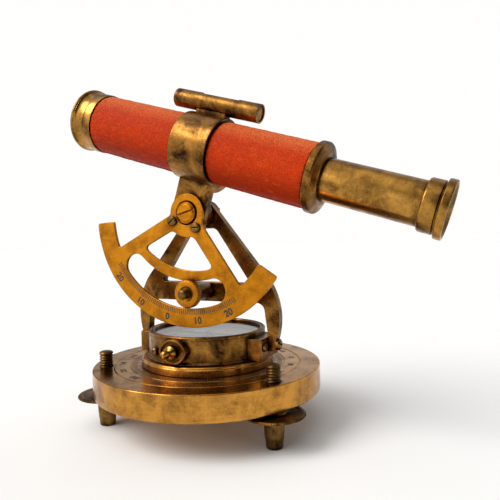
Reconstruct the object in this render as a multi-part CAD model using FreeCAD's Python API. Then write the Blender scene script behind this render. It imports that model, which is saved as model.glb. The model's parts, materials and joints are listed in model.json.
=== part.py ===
import FreeCAD, Part
import math
import os

from FreeCAD import Placement, Rotation, Vector

# Brass sighting telescope (alidade) on an A-shaped standard over a compass, on a three-screw base.
# Millimetres, +Z up. The origin is on the base's axis, in the plane that the three feet rest on.
# The telescope points its eyepiece to +X. It is modelled level, about the pivot, and then tilted.
# S is a distance along the telescope's own axis, and H is a height above the pivot.

# Base and levelling screws
BASE_R = 57.0
BASE_BOTTOM_Z = 17.2
BASE_TOP_Z = 29.2
BASE_EDGE = 0.5
GROOVE_RADII = (39.0, 46.9)
GROOVE_WIDTH = 0.7
GROOVE_DEPTH = 0.4
SCREW_CIRCLE_R = 50.8
SCREW_ANGLES = (-25.5, 94.5, -145.5)
THREAD_R = 3.4
THREAD_PITCH = 1.25
THREAD_TOP_Z = 36.9
KNOB_DISC_R = 13.9
KNOB_DISC_Z = 14.4
KNOB_DISC_THICKNESS = 1.4
FOOT_TOP_R = 4.8
FOOT_BOTTOM_R = 3.75
FOOT_FLAT_R = 3.0
RUNNING_CLEARANCE = 0.05

# Spindle and compass
SPINDLE_R = 6.0
SPINDLE_FLANGE_R = 9.0
SPINDLE_FLANGE = 2.4
SPINDLE_SCREW_R = 1.5
SPINDLE_SCREW_Z = BASE_TOP_Z - 6.0
SPINDLE_WASHER = 0.9
JOURNAL_R = 5.0
TURNTABLE_R = 33.3
TURNTABLE_Z = BASE_TOP_Z + 0.1
TURNTABLE_TOP_Z = 33.7
JOURNAL_TOP_Z = TURNTABLE_TOP_Z + 0.1
HOUSING_R = 29.6
HOUSING_WALL = 2.2
HOUSING_FLOOR_Z = 37.4
HOUSING_FLOOR = 1.8
HOUSING_TOP_Z = 45.2
GLASS_R = 27.9
GLASS_Z = 43.9
BEZEL_TOP_Z = 46.7
BEZEL_INNER_R = 27.0
DIAL_R = 27.2
DIAL_THICKNESS = 0.8
NEEDLE_Z = 41.9
NEEDLE_HALF_LENGTH = 22.0

# A-shaped standard
FRAME_FRONT_Y = -2.6
FRAME_THICKNESS = 4.6
PIVOT_Z = 104.4
FRAME_HUB_R = 6.8
LUG_OUTER_X = 34.8
LUG_HALF_WIDTH = 10.3
LUG_BOTTOM_Z = 34.0
LUG_TOP_Z = 44.0
CROSSBAR_BOTTOM_Z = 60.2
CROSSBAR_TOP_Z = 69.8
CROTCH_Z = 97.0
KNEE = (31.6, BASE_TOP_Z + 46.7)
BOW = (40.4, BASE_TOP_Z + 29.5)
ANKLE = (38.8, BASE_TOP_Z + 12.0)
FOOT_Z = BASE_TOP_Z + 8.0
FOOT_SCREW_R = 2.7
FOOT_SCREW_Y = -0.3
FOOT_SCREW_Z = BASE_TOP_Z + 11.2

# Pivot and sector
PIVOT_R = 4.0
PIVOT_HEAD_R = 5.2
CHEEK_FRONT_Y = -16.0
CHEEK_THICKNESS = 3.0
CHEEK_HALF_WIDTH = 9.4
SECTOR_THICKNESS = 1.6
SECTOR_TRIM = 2.7
SECTOR_OUTER_R = 55.4
SECTOR_BAND_R = 44.7
SECTOR_HORN = 71.7
SLOT_INNER_R = 32.6
SLOT_OUTER_R = 46.2
SLOT_END = 35.6
SLOT_END_R = 6.1
WINDOW_LOW_R = 27.4
WINDOW_CORNER_R = 30.2
SPOKE_ANGLE = 49.2
SPOKE_HALF_WIDTH = 3.5
SECTOR_HUB_R = 9.3
SECTOR_HUB_LOW_R = 11.6
SECTOR_HOLE_R = 5.9
SECTOR_SCREW_R = 8.85
SECTOR_SCREW_ANGLE = 50.0

# Azimuth clamp on the front of the housing
BOSS_X = 0.1
BOSS_Y = -28.2
BOSS_Z = BASE_TOP_Z + 11.0
BOSS_HEIGHT = 4.2
BOSS_ARC_R = 7.75
BOSS_ARC_OFFSET = 1.95
HOUSING_SCREW_ANGLE = -115.5

# Altitude clamp
STUD_X = 1.5
STUD_Z = 65.8
STUD_R = 2.2
SLEEVE_R = 4.2
CLAMP_KNOB_R = 6.9
CLAMP_KNOB_THICKNESS = 3.9

# Telescope
TILT = 17.4
TUBE_Y = -14.2
TUBE_H = 31.52
TUBE_S = -0.51
TUBE_R = 13.9
TUBE_WALL = 1.0
LEATHER_R = 14.84
COLLAR_R = 16.12
COLLAR_HALF_LENGTH = 9.95
LEATHER_FRONT_S = -60.2
LEATHER_REAR_S = 57.5
BELL_S = -72.8
BELL_R = 15.93
LENS_R = 13.1
LENS_STOP_R = 12.2
LENS_SEAT = 4.8
LENS_EDGE = 1.4
END_RING_R = 15.73
END_RING_S = 62.8
DRAW_R = 9.43
DRAW_WALL = 0.9
DRAW_INNER_S = 12.0
EYE_COLLAR_S = 103.6
EYE_COLLAR_R = 10.95
EYE_CUP_S = EYE_COLLAR_S + 6.9
EYE_RIM_S = 113.8
EYE_RIM_R = 12.15

# Spirit level
LEVEL_H = TUBE_H + 21.1
LEVEL_R = 4.36
LEVEL_WALL = 0.8
LEVEL_S0 = -20.9
LEVEL_S1 = 24.4

X_AXIS = Vector(1, 0, 0)
Y_AXIS = Vector(0, 1, 0)
Z_AXIS = Vector(0, 0, 1)
ORIGIN = Vector(0, 0, 0)


def export(name, shape):
    shape.exportStep("parts/" + name + ".step")


def turned(profile):
    """Solid of revolution about Z, from (radius, height) points."""
    points = [Vector(radius, 0, height) for radius, height in profile]
    return Part.Face(Part.makePolygon(points + [points[0]])).revolve(ORIGIN, Z_AXIS, 360)


def placed(shape, origin, direction=Z_AXIS):
    """The shape with its own Z axis laid along direction, and its origin moved."""
    out = shape.copy()
    out.Placement = Placement(origin, Rotation(Z_AXIS, direction)).multiply(out.Placement)
    return out


def ring(outer_r, inner_r, z0, z1):
    return turned([(inner_r, z0), (outer_r, z0), (outer_r, z1), (inner_r, z1)])


def rod(radius, z0, z1):
    return turned([(0, z0), (radius, z0), (radius, z1), (0, z1)])


def rounded_wire(corners, y):
    """Closed wire in the plane y, from (x, z, corner radius) points."""
    edges = []
    count = len(corners)
    previous_end = None
    first_start = None
    for i in range(count):
        x, z, radius = corners[i]
        here = Vector(x, y, z)
        before = Vector(corners[i - 1][0], y, corners[i - 1][1])
        after = Vector(corners[(i + 1) % count][0], y, corners[(i + 1) % count][1])
        to_before = (before - here).normalize()
        to_after = (after - here).normalize()
        half = to_before.getAngle(to_after) / 2
        setback = radius / math.tan(half)
        start = here + to_before * setback
        end = here + to_after * setback
        if previous_end is not None and (start - previous_end).Length > 1e-6:
            edges.append(Part.LineSegment(previous_end, start).toShape())
        if first_start is None:
            first_start = start
        if radius > 0:
            middle = here + (to_before + to_after).normalize() * (radius / math.sin(half) - radius)
            edges.append(Part.Arc(start, middle, end).toShape())
        previous_end = end
    edges.append(Part.LineSegment(previous_end, first_start).toShape())
    return Part.Wire(edges)


def plate(wire, thickness):
    """Plate from a wire in an XZ plane, thickened towards +Y."""
    return Part.Face(wire).extrude(Y_AXIS * thickness)


def disc_plate(x, z, radius, y, thickness):
    return Part.makeCylinder(radius, thickness, Vector(x, y, z), Y_AXIS)


def polar(radius, angle, y=0.0):
    """Point at an angle from straight down, turning towards +X."""
    turn = math.radians(angle)
    return Vector(radius * math.sin(turn), y, -radius * math.cos(turn))


def arc_band(inner_r, outer_r, angle0, angle1, y, thickness):
    """Plate shaped as a length of ring about the Y axis."""
    middle = (angle0 + angle1) / 2
    outer = Part.Arc(polar(outer_r, angle0, y), polar(outer_r, middle, y), polar(outer_r, angle1, y))
    inner = Part.Arc(polar(inner_r, angle1, y), polar(inner_r, middle, y), polar(inner_r, angle0, y))
    side1 = Part.LineSegment(polar(outer_r, angle1, y), polar(inner_r, angle1, y))
    side0 = Part.LineSegment(polar(inner_r, angle0, y), polar(outer_r, angle0, y))
    wire = Part.Wire([edge.toShape() for edge in (outer, side1, inner, side0)])
    return plate(wire, thickness)


def fillet_near(shape, spots, radius):
    """Round the edges that run along Y nearest to the given points."""
    chosen = []
    for spot in spots:
        best = None
        for edge in shape.Edges:
            if len(edge.Vertexes) != 2:
                continue
            a = edge.Vertexes[0].Point
            b = edge.Vertexes[1].Point
            if abs(a.x - b.x) > 1e-4 or abs(a.z - b.z) > 1e-4:
                continue
            gap = math.hypot(a.x - spot.x, a.z - spot.z)
            if best is None or gap < best[0]:
                best = (gap, edge)
        chosen.append(best[1])
    return shape.makeFillet(radius, chosen)


def slotted_head(radius, height, slot_width, slot_depth, slot_angle):
    """Domed screw head standing on z = 0, with a slot across its top."""
    dome = 0.35 * height
    shoulder = (radius - dome, height - 0.2 * dome)
    head = turned([(0, 0), (radius, 0), (radius, height - dome), shoulder, (0, height)])
    slot = Part.makeBox(4 * radius, slot_width, 2 * slot_depth,
                        Vector(-2 * radius, -slot_width / 2, height - slot_depth))
    slot.rotate(ORIGIN, Z_AXIS, slot_angle)
    return head.cut(slot)


# ---- base ----

def base_plate():
    edge_r = BASE_R - BASE_EDGE
    profile = [(SPINDLE_R, BASE_BOTTOM_Z), (edge_r, BASE_BOTTOM_Z), (BASE_R, BASE_BOTTOM_Z + BASE_EDGE),
               (BASE_R, BASE_TOP_Z - BASE_EDGE), (edge_r, BASE_TOP_Z)]
    for radius in reversed(GROOVE_RADII):
        profile.append((radius + GROOVE_WIDTH / 2, BASE_TOP_Z))
        profile.append((radius, BASE_TOP_Z - GROOVE_DEPTH))
        profile.append((radius - GROOVE_WIDTH / 2, BASE_TOP_Z))
    profile.append((SPINDLE_R, BASE_TOP_Z))
    shape = turned(profile)
    for x, y in screw_places():
        hole_r = THREAD_R + RUNNING_CLEARANCE
        shape = shape.cut(Part.makeCylinder(hole_r, BASE_TOP_Z, Vector(x, y, 0)))
    return shape


def screw_places():
    return [(SCREW_CIRCLE_R * math.cos(math.radians(a)), SCREW_CIRCLE_R * math.sin(math.radians(a)))
            for a in SCREW_ANGLES]


def levelling_screw():
    """Foot, shank and threaded end, turned in one piece."""
    profile = [(0, 0), (FOOT_FLAT_R, 0), (FOOT_BOTTOM_R, 0.8), (FOOT_TOP_R, KNOB_DISC_Z - 0.6),
               (FOOT_TOP_R - 0.4, KNOB_DISC_Z), (THREAD_R, KNOB_DISC_Z), (THREAD_R, BASE_TOP_Z)]
    depth = 0.55 * THREAD_PITCH
    z = BASE_TOP_Z
    while z + THREAD_PITCH < THREAD_TOP_Z - 0.4:
        profile.append((THREAD_R - depth, z + THREAD_PITCH / 2))
        profile.append((THREAD_R, z + THREAD_PITCH))
        z += THREAD_PITCH
    profile.append((THREAD_R - 0.7, THREAD_TOP_Z))
    profile.append((0, THREAD_TOP_Z))
    return turned(profile)


def levelling_knob():
    """Thin disc with a raised hub, fixed on the screw's shank."""
    low = KNOB_DISC_Z
    top = KNOB_DISC_Z + KNOB_DISC_THICKNESS
    hub_top = BASE_BOTTOM_Z - 0.3
    edge = 0.2
    return turned([(THREAD_R, low), (KNOB_DISC_R - edge, low), (KNOB_DISC_R, low + edge),
                   (KNOB_DISC_R, top - edge), (KNOB_DISC_R - edge, top), (6.0, top), (5.6, hub_top),
                   (THREAD_R, hub_top)])


def centre_spindle():
    """Fixed spindle: a flange under the base, a seat in it, and the journal above."""
    flange_z = BASE_BOTTOM_Z - SPINDLE_FLANGE
    return turned([(0, flange_z), (SPINDLE_FLANGE_R, flange_z), (SPINDLE_FLANGE_R, BASE_BOTTOM_Z),
                   (SPINDLE_R, BASE_BOTTOM_Z), (SPINDLE_R, BASE_TOP_Z), (JOURNAL_R, BASE_TOP_Z),
                   (JOURNAL_R, JOURNAL_TOP_Z), (SPINDLE_SCREW_R, JOURNAL_TOP_Z),
                   (SPINDLE_SCREW_R, SPINDLE_SCREW_Z), (0, SPINDLE_SCREW_Z)])


def spindle_washer():
    return ring(SPINDLE_FLANGE_R, SPINDLE_SCREW_R, JOURNAL_TOP_Z, JOURNAL_TOP_Z + SPINDLE_WASHER)


def spindle_screw():
    top = JOURNAL_TOP_Z + SPINDLE_WASHER
    shank = rod(SPINDLE_SCREW_R, SPINDLE_SCREW_Z, top)
    head = placed(slotted_head(3.0, 1.8, 0.7, 0.8, 0), Vector(0, 0, top))
    return shank.fuse(head).removeSplitter()


# ---- turntable and compass ----

def turntable():
    bore_r = JOURNAL_R + RUNNING_CLEARANCE
    return turned([(bore_r, TURNTABLE_Z), (TURNTABLE_R, TURNTABLE_Z), (TURNTABLE_R, TURNTABLE_TOP_Z - 0.4),
                   (TURNTABLE_R - 0.4, TURNTABLE_TOP_Z), (bore_r, TURNTABLE_TOP_Z)])


def compass_housing():
    inner_r = HOUSING_R - HOUSING_WALL
    floor_top = HOUSING_FLOOR_Z + HOUSING_FLOOR
    return turned([(inner_r, TURNTABLE_TOP_Z), (HOUSING_R, TURNTABLE_TOP_Z), (HOUSING_R, HOUSING_TOP_Z),
                   (GLASS_R, HOUSING_TOP_Z), (GLASS_R, GLASS_Z), (inner_r, GLASS_Z), (inner_r, floor_top),
                   (0, floor_top), (0, HOUSING_FLOOR_Z), (inner_r, HOUSING_FLOOR_Z)])


def compass_bezel():
    middle = (HOUSING_R + BEZEL_INNER_R) / 2
    return turned([(BEZEL_INNER_R, HOUSING_TOP_Z), (HOUSING_R, HOUSING_TOP_Z), (HOUSING_R, BEZEL_TOP_Z - 0.3),
                   (HOUSING_R - 0.3, BEZEL_TOP_Z), (middle + 0.25, BEZEL_TOP_Z), (middle, BEZEL_TOP_Z - 0.3),
                   (middle - 0.25, BEZEL_TOP_Z), (BEZEL_INNER_R, BEZEL_TOP_Z)])


def compass_glass():
    return rod(GLASS_R - 0.02, GLASS_Z, HOUSING_TOP_Z)


def compass_dial():
    floor_top = HOUSING_FLOOR_Z + HOUSING_FLOOR
    return ring(DIAL_R, 1.0, floor_top, floor_top + DIAL_THICKNESS)


def needle_pivot():
    floor_top = HOUSING_FLOOR_Z + HOUSING_FLOOR
    return turned([(0, floor_top), (1.0, floor_top), (1.0, floor_top + DIAL_THICKNESS),
                   (0.5, floor_top + DIAL_THICKNESS + 0.4), (0.12, NEEDLE_Z + 0.45), (0, NEEDLE_Z + 0.45)])


def compass_needle():
    """Long rhombus blade with a hole for its cap."""
    half = NEEDLE_HALF_LENGTH
    tip = 0.25
    outline = [(-half, -tip), (0, -2.0), (half, -tip), (half, tip), (0, 2.0), (-half, tip)]
    points = [Vector(x, y, NEEDLE_Z) for x, y in outline]
    blade = Part.Face(Part.makePolygon(points + [points[0]])).extrude(Z_AXIS * 0.4)
    return blade.cut(Part.makeCylinder(1.2, 1.0, Vector(0, 0, NEEDLE_Z - 0.3)))


def needle_cap():
    """Hollow jewel cap that sits over the pivot's point."""
    return turned([(0.7, NEEDLE_Z - 0.1), (1.2, NEEDLE_Z - 0.1), (1.2, NEEDLE_Z + 0.8), (0.5, NEEDLE_Z + 1.3),
                   (0, NEEDLE_Z + 1.3), (0, NEEDLE_Z + 0.8), (0.7, NEEDLE_Z + 0.8)])


def lug(side):
    """Block on the side of the housing, which carries one leg of the standard."""
    width = 2 * LUG_HALF_WIDTH
    inner_x = 20.0
    corner = Vector(inner_x, -LUG_HALF_WIDTH, LUG_BOTTOM_Z)
    block = Part.makeBox(LUG_OUTER_X - inner_x, width, LUG_TOP_Z - LUG_BOTTOM_Z, corner)
    edges = [edge for edge in block.Edges
             if abs(edge.BoundBox.XLength) < 1e-6 and abs(edge.CenterOfMass.x - LUG_OUTER_X) < 1e-6]
    block = block.makeFillet(0.8, edges)
    block = block.cut(Part.makeCylinder(HOUSING_R, 60, ORIGIN))
    block = block.cut(Part.makeCylinder(TURNTABLE_R + 1, TURNTABLE_TOP_Z + 0.2, ORIGIN))
    if side < 0:
        block = block.mirror(ORIGIN, X_AXIS)
    return block


def tangent_point(radius, x, z):
    """Where the outer edge of the right leg, from (x, z), touches the hub at the top of the frame."""
    dx = x
    dz = z - PIVOT_Z
    reach = math.hypot(dx, dz)
    turn = math.atan2(dz, dx) + math.acos(radius / reach)
    return radius * math.cos(turn), PIVOT_Z + radius * math.sin(turn)


def standard_frame():
    """Flat A-shaped casting: hub, two straight legs that bow in at the bottom, and a crossbar."""
    y = FRAME_FRONT_Y
    tangent = tangent_point(FRAME_HUB_R, *KNEE)

    def right(point):
        return Vector(point[0], y, point[1])

    def left(point):
        return Vector(-point[0], y, point[1])

    inner_foot = (LUG_OUTER_X, FOOT_Z)
    inner_shin = (LUG_OUTER_X, BASE_TOP_Z + 17.0)
    inner_knee = (33.4, CROSSBAR_BOTTOM_Z - 4.0)
    inner_corner = (32.2, CROSSBAR_BOTTOM_Z - 1.2)
    inner_bar = (29.4, CROSSBAR_BOTTOM_Z)
    outer_foot = (ANKLE[0], FOOT_Z)
    edges = [
        Part.Arc(left(tangent), Vector(0, y, PIVOT_Z + FRAME_HUB_R), right(tangent)),
        Part.LineSegment(right(tangent), right(KNEE)),
        Part.Arc(right(KNEE), right(BOW), right(ANKLE)),
        Part.LineSegment(right(ANKLE), right(outer_foot)),
        Part.LineSegment(right(outer_foot), right(inner_foot)),
        Part.LineSegment(right(inner_foot), right(inner_shin)),
        Part.LineSegment(right(inner_shin), right(inner_knee)),
        Part.Arc(right(inner_knee), right(inner_corner), right(inner_bar)),
        Part.LineSegment(right(inner_bar), left(inner_bar)),
        Part.Arc(left(inner_bar), left(inner_corner), left(inner_knee)),
        Part.LineSegment(left(inner_knee), left(inner_shin)),
        Part.LineSegment(left(inner_shin), left(inner_foot)),
        Part.LineSegment(left(inner_foot), left(outer_foot)),
        Part.LineSegment(left(outer_foot), left(ANKLE)),
        Part.Arc(left(ANKLE), left(BOW), left(KNEE)),
        Part.LineSegment(left(KNEE), left(tangent)),
    ]
    frame = plate(Part.Wire([edge.toShape() for edge in edges]), FRAME_THICKNESS)
    crotch_x = 7.4
    sill_x = 26.0
    window = [(-crotch_x, CROTCH_Z, 1.5), (crotch_x, CROTCH_Z, 1.5), (sill_x, CROSSBAR_TOP_Z, 2.6),
              (-sill_x, CROSSBAR_TOP_Z, 2.6)]
    frame = frame.cut(plate(rounded_wire(window, y - 1), FRAME_THICKNESS + 2))
    frame = frame.cut(disc_plate(0, PIVOT_Z, PIVOT_R, y - 1, FRAME_THICKNESS + 2))
    for side in (-1, 1):
        seat = Part.makeCylinder(FOOT_SCREW_R + 0.1, 6, Vector(side * ANKLE[0], FOOT_SCREW_Y, FOOT_SCREW_Z),
                                 X_AXIS * side)
        frame = frame.cut(seat)
    return frame.cut(disc_plate(STUD_X, STUD_Z, STUD_R, y - 1, FRAME_THICKNESS + 2))


def frame_foot_screw(side):
    """Domed screw that holds a leg's foot to its lug."""
    seat = Vector(side * ANKLE[0], FOOT_SCREW_Y, FOOT_SCREW_Z)
    return placed(slotted_head(FOOT_SCREW_R, 2.2, 0.8, 0.9, 60), seat, X_AXIS * side)


def lug_screws():
    """Two small screws on the outer face of each lug, beside the leg."""
    screws = []
    for side in (-1, 1):
        for y in (-6.8, 6.8):
            head = slotted_head(1.9, 1.3, 0.6, 0.6, 20)
            screws.append(placed(head, Vector(side * LUG_OUTER_X, y, BASE_TOP_Z + 10.6), X_AXIS * side))
    return Part.makeCompound(screws)


def pointed_oval(arc_r, offset, low, high):
    """Solid with an eye-shaped outline between two arcs, standing along Z."""
    upper = Part.makeCylinder(arc_r, high - low, Vector(0, -offset, low))
    lower = Part.makeCylinder(arc_r, high - low, Vector(0, offset, low))
    return upper.common(lower)


def azimuth_boss():
    """Eye-shaped boss with a raised rim on the front of the housing, which holds the clamp screw."""
    rim = 1.2
    recess = 0.8
    bore = 2.05
    body = pointed_oval(BOSS_ARC_R, BOSS_ARC_OFFSET, 0, BOSS_HEIGHT)
    body = body.cut(pointed_oval(BOSS_ARC_R - rim, BOSS_ARC_OFFSET, BOSS_HEIGHT - recess, BOSS_HEIGHT + 1))
    body = body.cut(Part.makeCylinder(bore, BOSS_HEIGHT + 1))
    body = placed(body, Vector(BOSS_X, BOSS_Y, BOSS_Z), Y_AXIS * -1)
    body = body.cut(Part.makeCylinder(HOUSING_R, 60, ORIGIN))
    return body.cut(Part.makeCylinder(TURNTABLE_R + 1, TURNTABLE_TOP_Z + 0.2, ORIGIN))


def azimuth_clamp_screw():
    """Turned thumbscrew: shank, collar, neck and ball end."""
    profile = [(0, 1.6), (2.0, 1.6), (2.0, 4.6), (3.1, 4.8), (3.1, 6.2), (1.3, 6.8), (1.3, 7.8)]
    ball_r = 2.1
    ball_z = 9.4
    for step in range(1, 9):
        turn = math.radians(-50 + 140 * step / 9)
        profile.append((ball_r * math.cos(turn), ball_z + ball_r * math.sin(turn)))
    profile.append((0, ball_z + ball_r))
    return placed(turned(profile), Vector(BOSS_X, BOSS_Y, BOSS_Z), Y_AXIS * -1)


def housing_screw():
    """Small domed screw beside the clamp boss."""
    turn = math.radians(HOUSING_SCREW_ANGLE)
    outward = Vector(math.cos(turn), math.sin(turn), 0)
    head = slotted_head(2.0, 2.4, 0.6, 0.7, 0)
    start = outward * (HOUSING_R - 0.2) + Vector(0, 0, BASE_TOP_Z + 9.4)
    return placed(head, start, outward).cut(Part.makeCylinder(HOUSING_R, 60, ORIGIN))


def pivot_spacer():
    """Bush between the standard and the telescope's bracket."""
    back = FRAME_FRONT_Y
    front = CHEEK_FRONT_Y + CHEEK_THICKNESS + 0.1
    return placed(ring(6.4, PIVOT_R, 0, back - front), Vector(0, front, PIVOT_Z), Y_AXIS)


def pivot_screw():
    """Shoulder screw: slotted head in front of the bracket, shank back through the frame."""
    head_z = 0.1
    shank_end = CHEEK_FRONT_Y - (FRAME_FRONT_Y + FRAME_THICKNESS) - 4.0
    head = slotted_head(PIVOT_HEAD_R, 3.4, 1.1, 1.2, 0)
    head.translate(Vector(0, 0, head_z))
    screw = head.fuse(rod(PIVOT_R, shank_end, head_z)).removeSplitter()
    screw.rotate(ORIGIN, Z_AXIS, 15)
    return placed(screw, Vector(0, CHEEK_FRONT_Y, PIVOT_Z), Y_AXIS * -1)


def pivot_nut():
    back = FRAME_FRONT_Y + FRAME_THICKNESS
    points = [polar(6.2, 60 * i, back + 0.9) for i in range(6)]
    nut = plate(Part.makePolygon([p + Vector(0, 0, PIVOT_Z) for p in points + [points[0]]]), 3.0)
    return nut.cut(disc_plate(0, PIVOT_Z, PIVOT_R, back, 6))


def pivot_washer():
    back = FRAME_FRONT_Y + FRAME_THICKNESS
    return placed(ring(7.0, PIVOT_R, 0, 0.9), Vector(0, back, PIVOT_Z), Y_AXIS)


# ---- altitude clamp ----

def clamp_face_y():
    return CHEEK_FRONT_Y - SECTOR_THICKNESS - 0.3


def clamp_stud():
    """Threaded stud through the crossbar and the sector's slot, riveted at the back."""
    back = FRAME_FRONT_Y + FRAME_THICKNESS
    front = clamp_face_y() - CLAMP_KNOB_THICKNESS - 4.2
    depth = 0.45
    pitch = 0.9
    z = back - clamp_face_y() + CLAMP_KNOB_THICKNESS
    profile = [(0, -1.2), (3.2, -1.2), (3.2, 0), (STUD_R, 0), (STUD_R, z)]
    while z + pitch < back - front - 0.4:
        profile.append((STUD_R - depth, z + pitch / 2))
        profile.append((STUD_R, z + pitch))
        z += pitch
    profile.append((STUD_R - 0.5, back - front))
    profile.append((0, back - front))
    return placed(turned(profile), Vector(STUD_X, back, STUD_Z), Y_AXIS * -1)


def clamp_sleeve():
    """Distance sleeve between the crossbar and the back of the sector."""
    front = CHEEK_FRONT_Y + 0.3
    return placed(ring(SLEEVE_R, STUD_R, 0, FRAME_FRONT_Y - front), Vector(STUD_X, front, STUD_Z), Y_AXIS)


def clamp_knob():
    """Knurled clamp nut with a recess round the stud."""
    bore = STUD_R + RUNNING_CLEARANCE
    r = CLAMP_KNOB_R
    t = CLAMP_KNOB_THICKNESS
    body = turned([(bore, 0), (r - 0.3, 0), (r, 0.3), (r, t - 0.3), (r - 0.4, t), (3.6, t), (3.2, t - 0.6),
                   (bore, t - 0.6)])
    return placed(body, Vector(STUD_X, clamp_face_y(), STUD_Z), Y_AXIS * -1)


# ---- telescope, modelled level about the pivot ----

def tilted(shape):
    """Move a shape from the level telescope's frame to its place on the pivot."""
    out = shape.copy()
    out.Placement = Placement(Vector(0, 0, PIVOT_Z), Rotation(Y_AXIS, TILT)).multiply(out.Placement)
    return out


def optical(profile):
    """Piece turned about the telescope's axis, from (radius, distance along the axis) points."""
    return placed(turned(profile), Vector(TUBE_S, TUBE_Y, TUBE_H), X_AXIS)


def optical_ring(outer_r, inner_r, s0, s1):
    return optical([(inner_r, s0), (outer_r, s0), (outer_r, s1), (inner_r, s1)])


def trunnion_bracket():
    """Flat cheek on the pivot, with a curved saddle under the collar."""
    y = CHEEK_FRONT_Y
    w = CHEEK_HALF_WIDTH
    top = TUBE_H - COLLAR_R + 1.2
    bottom = -9.6
    corner_r = 8.5
    outline = [(-w, top, 0), (w, top, 0), (w, bottom, corner_r), (-w, bottom, corner_r)]
    cheek = plate(rounded_wire(outline, y), CHEEK_THICKNESS)
    for side in (-1, 1):
        ear = polar(SECTOR_SCREW_R, side * SECTOR_SCREW_ANGLE + SECTOR_TRIM)
        cheek = cheek.fuse(disc_plate(ear.x, ear.z, 3.0, y, CHEEK_THICKNESS))
    saddle = placed(ring(COLLAR_R + 3.0, COLLAR_R, -2 * w, 2 * w), Vector(0, TUBE_Y, TUBE_H), X_AXIS)
    keep = Part.makeBox(2 * w, 13.0, 12.0, Vector(-w, y, TUBE_H - COLLAR_R - 4.0))
    shape = cheek.fuse(saddle.common(keep)).removeSplitter()
    tube = placed(Part.makeCylinder(COLLAR_R, 60), Vector(-30, TUBE_Y, TUBE_H), X_AXIS)
    shape = shape.cut(tube)
    return shape.cut(disc_plate(0, 0, PIVOT_R + RUNNING_CLEARANCE, y - 1, CHEEK_THICKNESS + 2))


def spoke_turn(radius, side):
    """Angle where the right spoke's outer edge (side 1) or inner edge (side -1) crosses a circle."""
    return SPOKE_ANGLE + side * math.degrees(math.asin(SPOKE_HALF_WIDTH / radius))


def sector_window(y):
    """Wire of the window between the hub, the two spokes and the web."""
    low = spoke_turn(WINDOW_CORNER_R, -1)
    high = spoke_turn(SECTOR_HUB_LOW_R, -1)
    right_low = polar(WINDOW_CORNER_R, low, y)
    left_low = polar(WINDOW_CORNER_R, -low, y)
    right_high = polar(SECTOR_HUB_LOW_R, high, y)
    left_high = polar(SECTOR_HUB_LOW_R, -high, y)
    edges = [
        Part.Arc(left_low, polar(WINDOW_LOW_R, 0, y), right_low),
        Part.LineSegment(right_low, right_high),
        Part.Arc(right_high, polar(SECTOR_HUB_LOW_R, 0, y), left_high),
        Part.LineSegment(left_high, left_low),
    ]
    return Part.Wire([edge.toShape() for edge in edges])


def sector_slot(y):
    """Wire of the slot: a concentric outer side, round ends, and an inner side that widens in the middle."""
    middle_r = SLOT_OUTER_R - SLOT_END_R
    inner_r = middle_r - SLOT_END_R
    reach = math.degrees(SLOT_END_R / middle_r)
    right_out = polar(SLOT_OUTER_R, SLOT_END, y)
    left_out = polar(SLOT_OUTER_R, -SLOT_END, y)
    right_in = polar(inner_r, SLOT_END, y)
    left_in = polar(inner_r, -SLOT_END, y)
    edges = [
        Part.Arc(left_out, polar(SLOT_OUTER_R, 0, y), right_out),
        Part.Arc(right_out, polar(middle_r, SLOT_END + reach, y), right_in),
        Part.Arc(right_in, polar(SLOT_INNER_R, 0, y), left_in),
        Part.Arc(left_in, polar(middle_r, -SLOT_END - reach, y), left_out),
    ]
    return Part.Wire([edge.toShape() for edge in edges])


def sector():
    """Vertical arc: hub, two spokes, window, web, slot and outer band with horns."""
    y = CHEEK_FRONT_Y - SECTOR_THICKNESS
    t = SECTOR_THICKNESS
    band = spoke_turn(SECTOR_BAND_R, 1)
    hub = spoke_turn(SECTOR_HUB_R, 1)
    right_band = polar(SECTOR_BAND_R, band, y)
    left_band = polar(SECTOR_BAND_R, -band, y)
    right_hub = polar(SECTOR_HUB_R, hub, y)
    left_hub = polar(SECTOR_HUB_R, -hub, y)
    edges = [
        Part.Arc(left_band, polar(SECTOR_BAND_R, 0, y), right_band),
        Part.LineSegment(right_band, right_hub),
        Part.Arc(right_hub, polar(SECTOR_HUB_R, 180, y), left_hub),
        Part.LineSegment(left_hub, left_band),
    ]
    shape = plate(Part.Wire([edge.toShape() for edge in edges]), t)
    outer = arc_band(SECTOR_BAND_R - 0.1, SECTOR_OUTER_R, -band, band, y, t)
    outer = outer.fuse(arc_band(SECTOR_BAND_R, SECTOR_OUTER_R, -SECTOR_HORN, SECTOR_HORN, y, t))
    shape = shape.fuse(outer).removeSplitter()
    horn_spots = [polar(radius, turn) for radius in (SECTOR_BAND_R, SECTOR_OUTER_R)
                  for turn in (SECTOR_HORN, -SECTOR_HORN)]
    shape = fillet_near(shape, horn_spots, 1.0)
    window = plate(sector_window(y - 1), t + 2)
    low = spoke_turn(WINDOW_CORNER_R, -1)
    high = spoke_turn(SECTOR_HUB_LOW_R, -1)
    window = fillet_near(window, [polar(WINDOW_CORNER_R, low), polar(WINDOW_CORNER_R, -low)], 2.4)
    window = fillet_near(window, [polar(SECTOR_HUB_LOW_R, high), polar(SECTOR_HUB_LOW_R, -high)], 1.8)
    shape = shape.cut(window).cut(plate(sector_slot(y - 1), t + 2))
    shape = shape.cut(disc_plate(0, 0, SECTOR_HOLE_R, y - 1, t + 2))
    shape.rotate(ORIGIN, Y_AXIS, -SECTOR_TRIM)
    return shape


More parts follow.
